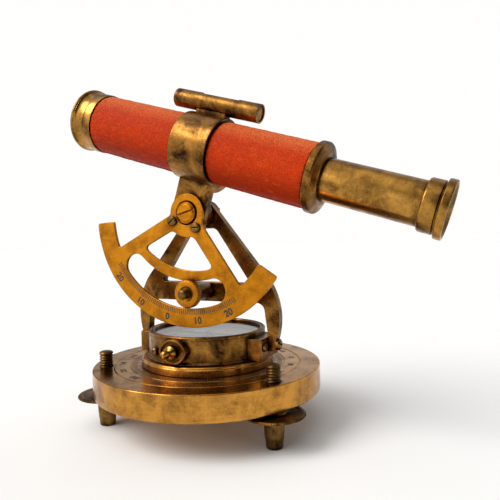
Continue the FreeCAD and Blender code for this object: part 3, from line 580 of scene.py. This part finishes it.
def stepped(radius, low, high, step):
    """Points up a cylinder's side, close enough together to carry a thread."""
    count = max(1, round((high - low) / step))
    return [(radius, low + (high - low) * i / count) for i in range(count + 1)]


def knurled(radius, band, depth, count):
    """A lathe shape function for straight knurls on a rim, on all that lies within band of its radius."""
    def shape(r, height, turn):
        if r < radius - band:
            return r
        return r - depth * abs(math.sin(count / 2 * turn))
    return shape


def levelling_screws():
    thread_r = 3.4
    pitch = 1.25
    disc_r = turned_size("levelling_knob_1", Matrix.Translation(centre_mm("levelling_knob_1")))[0]
    disc_thickness = 1.4
    knurls = 84
    for number, (x, y) in enumerate(screw_places(), start=1):
        axis = Matrix.Translation((x, y, 0)) @ Matrix.Rotation(math.radians(47 * number), 4, "Z")
        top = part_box("levelling_screw_%d" % number)[1].z / MM
        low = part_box("levelling_knob_%d" % number)[0].z / MM
        hub_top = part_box("levelling_knob_%d" % number)[1].z / MM
        foot = [(0, 0), (3.0, 0), (3.55, 0.25), (3.8, 0.9), (4.1, 4.2), (4.25, 4.6), (4.2, 5.0), (4.35, 5.4),
                (4.8, low - 0.9), (4.5, low), (thread_r, low)]
        side = stepped(thread_r, BASE_TOP - 1.0, top - 0.9, pitch / 10)
        outline = foot + side + [(thread_r - 0.5, top - 0.35), (thread_r - 1.1, top - 0.1), (0, top)]
        mesh = lathe(outline, 72, threaded(thread_r, 0.62, pitch, BASE_TOP - 0.9, top - 0.95))
        put("levelling_thread_%d" % number, mesh, axis, "levelling_%d" % number, "screw_metal",
            "levelling_screw_%d" % number, sharp=50)
        high = low + disc_thickness
        under = [(thread_r, low), (disc_r - 3.2, low), (disc_r - 2.9, low + 0.15), (disc_r - 0.5, low + 0.15)]
        rim = [(disc_r, low + 0.4), (disc_r, high - 0.4)]
        over = [(disc_r - 0.5, high - 0.1), (disc_r - 2.4, high), (disc_r - 2.7, high - 0.2),
                (disc_r - 3.0, high), (6.4, high), (5.9, high + 0.4), (5.6, hub_top), (thread_r, hub_top)]
        mesh = lathe(under + rim + over, knurls * 6, knurled(disc_r, 0.35, 0.32, knurls))
        put("levelling_disc_%d" % number, mesh, axis, "levelling_%d" % number, "dark_brass",
            "levelling_knob_%d" % number, sharp=50)


# ---- turntable and compass ----

def turntable():
    r, low, high = turned_size("turntable", STAND)
    bore_r = 5.05
    outline = [(bore_r, low), (r, low), (r, high - 1.3), (r - 0.5, high - 0.9), (r - 0.5, high - 0.5),
               (r - 1.0, high), (bore_r, high)]
    mesh = lathe(eased(outline, 0.2))
    put("turntable_turned", mesh, STAND, "turntable", "base_brass", "turntable")


def compass_housing():
    r, low, high = turned_size("compass_housing", STAND)
    inner_r = r - 2.2
    floor_low, floor_high = 37.4, 39.2
    glass_r, glass_low = turned_size("compass_glass", STAND)[:2]
    rebate_r = glass_r + 0.02
    outline = [(inner_r, low), (r + 0.9, low), (r + 0.9, low + 0.7), (r, low + 1.4), (r, high),
               (rebate_r, high), (rebate_r, glass_low), (inner_r, glass_low), (inner_r, floor_high),
               (0, floor_high), (0, floor_low), (inner_r, floor_low)]
    mesh = lathe(eased(outline, 0.2))
    put("compass_housing_turned", mesh, STAND, "turntable", "dark_brass", "compass_housing")


def compass_bezel():
    r, low, high = turned_size("compass_bezel", STAND)
    inner = 27.0
    middle = (r + inner) / 2
    outline = [(inner, low), (r, low), (r, high - 0.5), (r - 0.5, high), (middle + 0.45, high),
               (middle + 0.1, high - 0.45), (middle - 0.25, high - 0.45), (middle - 0.5, high - 0.1),
               (inner + 0.3, high - 0.1), (inner, high - 0.5)]
    mesh = lathe(eased(outline, 0.12))
    put("compass_bezel_turned", mesh, STAND, "turntable", "dark_brass", "compass_bezel")


def compass_dial():
    r, low, high = turned_size("compass_dial", STAND)
    outline = [(1.0, low), (r, low), (r, high), (r - 1.0, high), (r - 1.2, high - 0.1), (1.0, high - 0.1)]
    put("compass_dial_face", lathe(eased(outline, 0.08)), STAND, "turntable", "dial_face", "compass_dial")
    top = high - 0.1
    tick_width = 0.16
    number_size = 3.2
    marks = []
    for degree in range(0, 360, 5):
        length = 2.6 if degree % 30 == 0 else 1.3
        turn = Matrix.Rotation(math.radians(degree), 4, "Z")
        place = turn @ Matrix.Translation((0, r - 1.5 - length / 2, top))
        marks.append(bar(tick_width, length, MARK_HEIGHT, place))
    for degree in range(0, 360, 30):
        turn = Matrix.Rotation(math.radians(-degree), 4, "Z")
        place = turn @ Matrix.Translation((0, r - 6.4, top))
        marks.append(numeral(str(degree), number_size, MARK_HEIGHT, place))
    points = 8
    for point in range(points):
        long = 11.0 if point % 2 == 0 else 7.0
        turn = Matrix.Rotation(2 * math.pi * point / points, 4, "Z")
        marks.append(star_ray(long, 1.5, turn @ Matrix.Translation((0, 0, top))))
    put("compass_dial_marks", joined(marks), STAND, "turntable", "black_inside")


def star_ray(length, width, place):
    """One slim ray of the compass star, a little raised along its middle."""
    bm = bmesh.new()
    corners = [(-width, 2.2, 0), (0, length, 0), (width, 2.2, 0), (0, 1.4, 0)]
    low = [bm.verts.new(c) for c in corners]
    peak = bm.verts.new((0, 2.6, 0.12))
    bm.faces.new(low)
    for i in range(4):
        bm.faces.new((low[i], low[(i + 1) % 4], peak))
    bmesh.ops.recalc_face_normals(bm, faces=bm.faces)
    bmesh.ops.transform(bm, matrix=place, verts=bm.verts)
    return to_mesh(bm)


def compass_needle():
    """Blade with a ridge along each half and a round eye for the cap."""
    low, high = extent("compass_needle", STAND)
    half = high.x
    thick = high.z - low.z
    bm = bmesh.new()
    eye_r = 1.2
    wide = 2.0
    stations = 24
    for side in (-1, 1):
        rows = []
        for i in range(stations + 1):
            x = side * (eye_r + 0.6 + (half - eye_r - 0.6) * i / stations)
            w = wide * (1 - i / stations) ** 0.9 + 0.15
            rows.append([bm.verts.new((x, -w, low.z)), bm.verts.new((x, -w * 0.9, low.z + 0.4 * thick)),
                         bm.verts.new((x, 0, high.z)), bm.verts.new((x, w * 0.9, low.z + 0.4 * thick)),
                         bm.verts.new((x, w, low.z))])
        for a, b in zip(rows, rows[1:]):
            for k in range(5):
                bm.faces.new((a[k], a[(k + 1) % 5], b[(k + 1) % 5], b[k]))
        bm.faces.new(rows[0])
        bm.faces.new(rows[-1])
    bmesh.ops.recalc_face_normals(bm, faces=bm.faces)
    eye = [(eye_r, low.z), (wide + 0.2, low.z), (wide + 0.2, high.z - 0.05), (wide, high.z), (eye_r, high.z)]
    mesh = joined([to_mesh(bm), lathe(eye, 48)])
    put("needle_blade", mesh, STAND, "needle", "needle_steel", "compass_needle", sharp=20)


def pointed_oval(arc_r, offset):
    """Outline between two arcs whose centres lie offset above and below its own."""
    tip = math.degrees(math.asin(offset / arc_r))
    upper = arc((0, -offset), arc_r, tip, 180 - tip)
    lower = arc((0, offset), arc_r, 180 + tip, 360 - tip)
    return upper + lower[1:-1]


def azimuth_clamp():
    """Eye-shaped boss with a raised rim, and the turned thumbscrew with a ball end."""
    screw = centre_mm("azimuth_clamp_screw")
    boss_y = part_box("azimuth_boss")[0].y / MM
    recess = 0.8
    boss_arc_r = 7.75
    rim_arc_r = 6.55
    arc_offset = 1.95
    bore_r = 2.05
    outline = pointed_oval(boss_arc_r, arc_offset)
    bore = arc((0, 0), bore_r, 0, 360, 12)[:-1]
    body = plate(outline, [bore], 4.0, 0.15)
    body.transform(Matrix.Translation((0, recess, 0)))
    rim = plate(outline, [pointed_oval(rim_arc_r, arc_offset)], 1.2, 0.3)
    place = Matrix.Translation((screw.x, boss_y, screw.z))
    put("clamp_boss_turned", joined([body, rim]), place, "turntable", "dark_brass", "azimuth_boss")
    drawn_from_y = -28.2
    axis = Matrix.Translation((screw.x, drawn_from_y, screw.z)) @ Z_TO_FRONT
    ball_r = 2.1
    ball_z = 9.4
    outline = [(0, 1.6), (2.0, 1.6), (2.0, 4.5), (2.8, 4.7), (3.1, 5.1), (3.1, 5.9), (2.7, 6.3), (1.7, 6.6),
               (1.3, 6.9), (1.3, 7.7)]
    outline += [(r, ball_z + z) for r, z in arc((0, 0), ball_r, -50, 88, 7)]
    outline.append((0, ball_z + ball_r))
    put("thumbscrew_turned", lathe(outline, 64), axis, "azimuth_clamp", "tube_brass", "azimuth_clamp_screw")


# ---- standard ----

FRAME_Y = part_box("standard_frame")[0].y / MM
FRAME_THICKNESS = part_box("standard_frame")[1].y / MM - FRAME_Y


def standard_frame():
    """Flat A-shaped casting: hub, two straight legs that bow in at the bottom, and a crossbar."""
    low, high = extent("standard_frame", STAND)
    hub_r = high.z - PIVOT.z
    foot = low.z
    inner_x = 34.8
    bar_low, bar_high = 60.2, 69.8
    knee = Vector((31.6, 75.9))
    bow = Vector((40.4, 58.7))
    ankle = Vector((38.8, 41.2))
    reach = math.hypot(knee.x, knee.y - PIVOT.z)
    lean = math.degrees(math.atan2(knee.y - PIVOT.z, knee.x) + math.acos(hub_r / reach))
    right = arc((0, PIVOT.z), hub_r, 90, lean)[:-1]
    right.append((hub_r * math.cos(math.radians(lean)), PIVOT.z + hub_r * math.sin(math.radians(lean))))
    right += arc_through(knee, bow, ankle)
    right += [(ankle.x, foot), (inner_x, foot), (inner_x, bar_low - 14.0), (33.4, bar_low - 4.0)]
    right += arc_through((33.4, bar_low - 4.0), (32.2, bar_low - 1.2), (29.4, bar_low))[1:]
    left = [(-x, z) for x, z in reversed(right)][:-1]
    window_high = 97.0
    top_half = 7.4
    bar_half = 26.0
    window = [(-top_half, window_high), (top_half, window_high), (bar_half, bar_high), (-bar_half, bar_high)]
    window = eased(window, 2.2)
    pivot_hole_r = 4.0
    pivot_hole = arc((0, PIVOT.z), pivot_hole_r, 0, 360, 6)[:-1]
    stud = centre_mm("clamp_sleeve")
    stud_hole_r = 2.2
    stud_hole = arc((stud.x, stud.z), stud_hole_r, 0, 360, 12)[:-1]
    mesh = plate(right + left, [window, pivot_hole, stud_hole], FRAME_THICKNESS, 0.35)
    place = Matrix.Translation((0, FRAME_Y, 0))
    put("standard_casting", mesh, place, "turntable", "dark_brass", "standard_frame")


# ---- sector ----

SECTOR_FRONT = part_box("sector")[0].y / MM
SECTOR_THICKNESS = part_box("sector")[1].y / MM - SECTOR_FRONT
SECTOR_TRIM = 2.7
SECTOR_PLACE = LEVEL_FRAME @ Matrix.Translation((0, SECTOR_FRONT, 0)) @ Matrix.Rotation(
    math.radians(-SECTOR_TRIM), 4, "Y")
OUTER_R = 55.4
BAND_R = 44.7
HORN = 71.7
SLOT_INNER_R = 32.6
SLOT_OUTER_R = 46.2
SLOT_END = 35.6
SLOT_END_R = 6.1
WINDOW_LOW_R = 27.4
WINDOW_CORNER_R = 30.2
SPOKE = 49.2
SPOKE_HALF = 3.5
HUB_R = 9.3
HUB_LOW_R = 11.6
HOLE_R = 5.9


def spot(radius, angle):
    """Point about the pivot, with its angle from straight down towards +X."""
    turn = math.radians(angle)
    return radius * math.sin(turn), -radius * math.cos(turn)


def down(radius, start, end, step=2.0):
    """Arc about the pivot, with angles from straight down towards +X."""
    return arc((0, 0), radius, start - 90, end - 90, step)


def spoke_turn(radius, side):
    """Angle where a spoke's edge crosses a circle: side is 1 for its outer edge and -1 for its inner one."""
    return SPOKE + side * math.degrees(math.asin(SPOKE_HALF / radius))


def sector():
    outline = down(OUTER_R, -HORN, HORN)
    outline += down(BAND_R, HORN, spoke_turn(BAND_R, 1))
    outline += down(HUB_R, spoke_turn(HUB_R, 1), 360 - spoke_turn(HUB_R, 1), 5)
    outline += down(BAND_R, -spoke_turn(BAND_R, 1), -HORN)
    corner = spoke_turn(WINDOW_CORNER_R, -1)
    window = arc_through(spot(WINDOW_CORNER_R, -corner), spot(WINDOW_LOW_R, 0), spot(WINDOW_CORNER_R, corner))
    window += down(HUB_LOW_R, spoke_turn(HUB_LOW_R, -1), -spoke_turn(HUB_LOW_R, -1), 3)
    middle_r = SLOT_OUTER_R - SLOT_END_R
    inner_r = middle_r - SLOT_END_R
    tip = SLOT_END + math.degrees(SLOT_END_R / middle_r)
    slot = down(SLOT_OUTER_R, -SLOT_END, SLOT_END)
    slot += arc_through(spot(SLOT_OUTER_R, SLOT_END), spot(middle_r, tip), spot(inner_r, SLOT_END))[1:]
    slot += arc_through(spot(inner_r, SLOT_END), spot(SLOT_INNER_R, 0), spot(inner_r, -SLOT_END))[1:]
    slot += arc_through(spot(inner_r, -SLOT_END), spot(middle_r, -tip), spot(SLOT_OUTER_R, -SLOT_END))[1:-1]
    hole = arc((0, 0), HOLE_R, 0, 360, 6)[:-1]
    mesh = plate(eased(outline, 1.3), [eased(window, 3.0), slot, hole], SECTOR_THICKNESS)
    put("sector_plate", mesh, SECTOR_PLACE, "telescope", "gold_brass", "sector")


def sector_scale():
    """Degree marks from the slot's edge outward, with numbers below them."""
    label_step = 19.4
    divisions = 15
    centre = 0.9
    number_r = 52.0
    number_size = 4.5
    tick_r = SLOT_OUTER_R + 0.3
    tick_width = 0.42
    labels_each_way = 2.35
    marks = []
    ticks = round(labels_each_way * divisions)
    for i in range(-ticks, ticks + 1):
        length = 3.0 if i % divisions == 0 else 2.6
        turn = Matrix.Rotation(math.radians(-centre - i * label_step / divisions), 4, "Y")
        middle = Matrix.Translation((0, 0, -(tick_r + length / 2)))
        marks.append(bar(tick_width, length, MARK_HEIGHT, turn @ middle @ Z_TO_FRONT))
    for i, text in zip(range(-2, 3), ("20", "10", "0", "10", "20")):
        turn = Matrix.Rotation(math.radians(-centre - i * label_step), 4, "Y")
        place = turn @ Matrix.Translation((0, 0, -number_r)) @ Z_TO_FRONT
        marks.append(numeral(text, number_size, MARK_HEIGHT, place))
    put("sector_scale", joined(marks), SECTOR_PLACE, "telescope", "black_inside")


def altitude_clamp():
    stud = centre_mm("clamp_stud")
    axis = Matrix.Translation((stud.x, 0, stud.z)) @ Z_TO_FRONT
    low, high = extent("clamp_stud", axis)
    stud_r = 2.2
    rivet_r = 3.2
    pitch = 0.9
    knob_r, knob_low, knob_high = turned_size("clamp_knob", axis)
    outline = [(0, low.z), (rivet_r - 0.2, low.z), (rivet_r, low.z + 0.3), (rivet_r, low.z + 1.2),
               (stud_r, low.z + 1.2)]
    outline += stepped(stud_r, knob_low, high.z - 0.5, pitch / 8)
    outline += [(stud_r - 0.5, high.z - 0.1), (0, high.z)]
    mesh = lathe(outline, 56, threaded(stud_r, 0.42, pitch, knob_low + 0.2, high.z - 0.5))
    put("clamp_stud_thread", mesh, axis, "turntable", "screw_metal", "clamp_stud", sharp=50)
    knurls = 44
    bore_r = stud_r + 0.05
    outline = [(bore_r, knob_low), (knob_r - 0.6, knob_low), (knob_r, knob_low + 0.5),
               (knob_r, knob_high - 0.5), (knob_r - 0.7, knob_high), (3.7, knob_high), (3.3, knob_high - 0.5),
               (3.0, knob_high - 0.6), (bore_r, knob_high - 0.6)]
    mesh = lathe(outline, knurls * 8, knurled(knob_r, 0.2, 0.34, knurls))
    put("clamp_knob_knurled", mesh, axis, "altitude_clamp", "gold_brass", "clamp_knob", sharp=50)


# ---- telescope ----

def leather_sleeve(name, node, seed):
    """Glued leather cover: a creased sheet round the tube, with a lapped seam underneath and rough ends."""
    radius, start, end = turned_size(node, OPTICAL)
    tube_r = turned_size("main_tube", OPTICAL)[0]
    around = 300
    along = 130
    seam = math.radians(-14)
    lap = math.radians(20)
    trim = 0.3
    offset = Vector((0, 0, 31.0 * seed))

    def surface(share, turn):
        """Radius and distance along the tube of a point on the leather."""
        ragged = 0.28 * noise.noise(Vector((math.cos(turn), math.sin(turn), seed)) * 9.0)
        s = start + trim + (end - start - 2 * trim) * share + ragged * (1 - 2 * share) ** 6
        place = Vector((radius * math.cos(turn), radius * math.sin(turn), s)) + offset
        stretched = Vector((place.x, place.y, 0.5 * place.z))
        r = radius - 0.32
        r += 0.1 * noise.fractal(0.16 * place, 1.0, 2.0, 3)
        r += 0.11 * noise.fractal(0.75 * stretched, 0.8, 2.0, 4)
        past_seam = (turn - seam) % (2 * math.pi)
        if past_seam < lap:
            r += 0.24 * (1 - past_seam / lap)
        gap = min(past_seam, 2 * math.pi - past_seam) * radius
        r -= 0.3 * math.exp(-(gap / 0.35) ** 2)
        from_end = min(share, 1 - share) * (end - start)
        r -= 0.3 * math.exp(-from_end / 0.35)
        return r, s

    bm = bmesh.new()
    turns = [2 * math.pi * j / around for j in range(around)]
    rows = []
    for i in range(along + 1):
        places = [surface(i / along, turn) for turn in turns]
        rows.append([bm.verts.new((r * math.cos(t), r * math.sin(t), s)) for t, (r, s) in zip(turns, places)])
    for s in (end - trim, start + trim):
        rows.append([bm.verts.new((tube_r * math.cos(t), tube_r * math.sin(t), s)) for t in turns])
    for a, b in zip(rows, rows[1:] + rows[:1]):
        for j in range(around):
            k = (j + 1) % around
            bm.faces.new((a[j], a[k], b[k], b[j]))
    bmesh.ops.recalc_face_normals(bm, faces=bm.faces)
    piece = put(name, to_mesh(bm), OPTICAL, "telescope", "leather", node, sharp=60)


def collar():
    r, start, end = turned_size("collar", OPTICAL)
    tube_r = turned_size("main_tube", OPTICAL)[0]
    outline = [(tube_r, start), (r, start), (r, end), (tube_r, end)]
    put("collar_turned", lathe(eased(outline, 0.3)), OPTICAL, "telescope", "dark_brass", "collar")


def objective():
    """Flared cap with a rolled lip, a neck and a bore."""
    r, front, back = turned_size("objective_bell", OPTICAL)
    tube_r = turned_size("main_tube", OPTICAL)[0]
    outline = [(tube_r, back), (14.9, back), (15.05, back - 1.0), (15.05, back - 4.0)]
    outline += [(14.7, back - 4.6), (14.35, back - 5.2), (14.4, back - 6.4), (14.6, back - 8.0),
                (14.85, back - 9.2), (15.1, back - 9.8), (r - 0.3, front + 2.3)]
    outline += arc((r - 1.0, front + 1.2), 1.0, 60, -80, 14)
    outline += [(r - 1.6, front + 0.1), (r - 2.3, front + 0.5), (13.2, front + 1.4), (13.1, back - 5.0),
                (12.2, back - 5.0), (12.2, back - 1.2), (tube_r, back - 1.2)]
    mesh = lathe(outline)
    put("objective_bell_turned", mesh, OPTICAL, "telescope", "tube_brass", "objective_bell", sharp=45)


def end_ring():
    r, start, end = turned_size("end_ring", OPTICAL)
    tube_r = turned_size("main_tube", OPTICAL)[0]
    bore_r = tube_r - 1.0
    draw_bore_r = turned_size("draw_tube", OPTICAL)[0] + 0.05
    s = end - 5.3
    outline = [(tube_r, s), (r - 0.4, s), (r, s + 0.4), (r, s + 2.9), (r - 0.4, s + 3.5), (r - 1.2, s + 3.9),
               (12.2, s + 4.7), (11.5, end), (draw_bore_r, end), (draw_bore_r, start), (bore_r, start),
               (bore_r, s + 1.0), (tube_r, s + 1.0)]
    put("end_ring_turned", lathe(eased(outline, 0.15)), OPTICAL, "telescope", "dark_brass", "end_ring")


def eyepiece():
    """Draw tube, eyepiece collar, and the rim with the dull lining of its dished end."""
    r, start, end = turned_size("draw_tube", OPTICAL)
    wall = 0.9
    outline = [(r - wall, start), (r, start), (r, end), (r - wall, end)]
    put("draw_tube_turned", lathe(eased(outline, 0.1)), OPTICAL, "draw", "tube_brass", "draw_tube")
    collar_r, start, end = turned_size("eye_collar", OPTICAL)
    outline = [(r, start), (10.0, start), (10.5, start + 0.2), (collar_r, start + 0.9), (collar_r, end - 1.0),
               (collar_r - 0.2, end - 0.8), (collar_r - 0.5, end - 0.6), (collar_r - 0.5, end), (r, end)]
    put("eye_collar_turned", lathe(outline, 128), OPTICAL, "draw", "tube_brass", "eye_collar", sharp=45)
    rim_r, start, end = turned_size("eye_cup", OPTICAL)
    outline = [(6.0, start), (rim_r - 0.5, start), (rim_r - 0.1, start + 0.2), (rim_r, start + 0.5),
               (rim_r, end - 0.6), (rim_r - 0.15, end - 0.2), (rim_r - 0.5, end), (rim_r - 1.0, end),
               (rim_r - 1.4, end - 0.5), (9.6, end - 1.4), (6.4, start + 0.9), (6.0, start + 0.8)]
    put("eye_cup_turned", lathe(outline, 128), OPTICAL, "draw", "tube_brass", "eye_cup", sharp=45)
    outline = [(rim_r - 1.35, end - 0.3), (9.6, end - 1.25), (6.4, start + 1.05), (5.95, start + 0.95),
               (5.95, start + 0.82), (6.4, start + 0.85), (9.6, end - 1.45), (rim_r - 1.35, end - 0.55)]
    put("eye_cup_lining", lathe(outline, 128), OPTICAL, "draw", "screw_metal", sharp=45)


def spirit_level():
    """Domed cap of the level, and the glass vial that shows in its window."""
    r, front = turned_size("level_tube", LEVEL_AXIS)[:2]
    bore_r = r - 0.8
    cap_front = turned_size("level_front_cap", LEVEL_AXIS)[1]
    cap = [(0, front + 2.0), (bore_r, front + 2.0), (bore_r, front), (r, front)]
    for angle in range(10, 90, 10):
        turn = math.radians(angle)
        cap.append((r * math.cos(turn), front - (front - cap_front) * math.sin(turn)))
    cap.append((0, cap_front))
    mesh = lathe(cap, 96)
    put("level_cap_domed", mesh, LEVEL_AXIS, "telescope", "dark_brass", "level_front_cap", sharp=45)
    vial_r, start, end = turned_size("level_vial", LEVEL_AXIS)
    middle = (start + end) / 2
    half = (end - start) / 2
    steps = 24
    profile = [(0, start)]
    for i in range(1, steps):
        u = -1 + 2 * i / steps
        profile.append((vial_r * (1 - abs(u) ** 8) ** 0.5 * (1 - 0.02 * u * u), middle + half * u))
    profile.append((0, end))
    put("level_vial_blown", lathe(profile, 64), LEVEL_AXIS, "telescope", "glass", "level_vial")


# ---- surfaces of the CAD nodes that stay ----

def finish_cad_nodes():
    """The CAD nodes that no piece replaces are shown in the same materials."""
    slots = {part["node"]: part["material_slot"] for part in frame["record"]["subparts"]}
    for name, node in frame["nodes"].items():
        node.data.materials.clear()
        node.data.materials.append(MATERIALS[slots[name]])


# ---- studio ----

# Large soft areas of light round the piece: direction, cosine of the outer and inner edge, strength.
LIGHT_AREAS = [((-0.50, -0.82, 0.20), 0.82, 0.96, 1.5), ((-0.30, -0.35, 0.90), 0.62, 0.94, 1.05),
               ((0.15, 0.95, 0.25), 0.30, 0.85, 0.60), ((-0.98, 0.05, 0.15), 0.88, 0.96, 0.80),
               ((0.93, -0.25, 0.28), 0.93, 0.98, 0.7)]
SHADE = 0.04
BACKDROP = 1.0


def studio_floor():
    floor_mesh = lathe([(0, -0.02), (9000, -0.02), (9000, -5), (0, -5)], 96)
    floor_mesh.transform(Matrix.Scale(MM, 4))
    floor = bpy.data.objects.new("floor", floor_mesh)
    bpy.context.scene.collection.objects.link(floor)
    material, tree, shader = new_material("floor_paper")
    fibre = noise_of(tree, millimetres(tree), 0.02, 3.0, 0.5)
    colour = blend(tree, fibre, (0.93, 0.93, 0.925, 1), (0.95, 0.95, 0.945, 1))
    connect(tree, shader.inputs["Base Color"], colour)
    shader.inputs["Roughness"].default_value = 0.9
    shader.inputs["Specular IOR Level"].default_value = 0.0
    floor_mesh.materials.append(material)


def key_light():
    light = bpy.data.lights.new("key", "SUN")
    light.energy = 1.9
    light.angle = math.radians(35)
    light.color = (1.0, 0.985, 0.96)
    lamp = bpy.data.objects.new("key", light)
    bpy.context.scene.collection.objects.link(lamp)
    lamp.rotation_euler = Vector((0.50, 0.50, -0.70)).to_track_quat("-Z", "Y").to_euler()


def surroundings():
    """The soft light areas round the piece, and a plain white backdrop where the camera sees past it."""
    world = bpy.data.worlds.new("studio")
    bpy.context.scene.world = world
    world.use_nodes = True
    tree = world.node_tree
    background = tree.nodes["Background"]
    direction = add(tree, "TexCoord").outputs["Generated"]
    glow = SHADE
    for towards, outer, inner, strength in LIGHT_AREAS:
        aim = add(tree, "VectorMath", {"operation": "DOT_PRODUCT"})
        connect(tree, aim.inputs[0], direction)
        aim.inputs[1].default_value = Vector(towards).normalized()
        area = scaled(tree, ramp(tree, aim.outputs["Value"], outer, inner), strength)
        glow = calc(tree, "ADD", area, glow)
    seen = add(tree, "LightPath").outputs["Is Camera Ray"]
    mixed = add(tree, "Mix", {"data_type": "FLOAT"})
    connect(tree, mixed.inputs["Factor"], seen)
    connect(tree, mixed.inputs[2], glow)
    connect(tree, mixed.inputs[3], BACKDROP)
    connect(tree, background.inputs["Strength"], mixed.outputs[0])
    background.inputs["Color"].default_value = (1.0, 0.995, 0.985, 1)
    bpy.context.scene.view_settings.view_transform = "Standard"


CAMERA_PLACE = (0.13122, -0.21904, 0.09143)
CAMERA_YAW = math.radians(25.85)
CAMERA_PITCH = math.radians(1.31)
CAMERA_ROLL = math.radians(-1.1)
CAMERA_LENS = 35.71


def camera():
    yaw, pitch, roll = CAMERA_YAW, CAMERA_PITCH, CAMERA_ROLL
    back = Vector((math.sin(yaw) * math.cos(pitch), -math.cos(yaw) * math.cos(pitch), math.sin(pitch)))
    level_right = UP.cross(back).normalized()
    level_up = back.cross(level_right)
    right = math.cos(roll) * level_right + math.sin(roll) * level_up
    up = -math.sin(roll) * level_right + math.cos(roll) * level_up
    data = bpy.data.cameras.new("camera")
    data.sensor_width = 36.0
    data.lens = CAMERA_LENS
    data.clip_start = 0.01
    data.clip_end = 20.0
    cam = bpy.data.objects.new("camera", data)
    bpy.context.scene.collection.objects.link(cam)
    turn = Matrix((right, up, back)).transposed().to_4x4()
    cam.matrix_world = Matrix.Translation(CAMERA_PLACE) @ turn
    bpy.context.scene.camera = cam


base_plate()
base_scale()
levelling_screws()
turntable()
compass_housing()
compass_bezel()
compass_dial()
compass_needle()
azimuth_clamp()
standard_frame()
sector()
sector_scale()
altitude_clamp()
leather_sleeve("leather_front_cover", "leather_front", 1)
leather_sleeve("leather_rear_cover", "leather_rear", 2)
collar()
objective()
end_ring()
eyepiece()
spirit_level()
finish_cad_nodes()
studio_floor()
key_light()
surroundings()
camera()
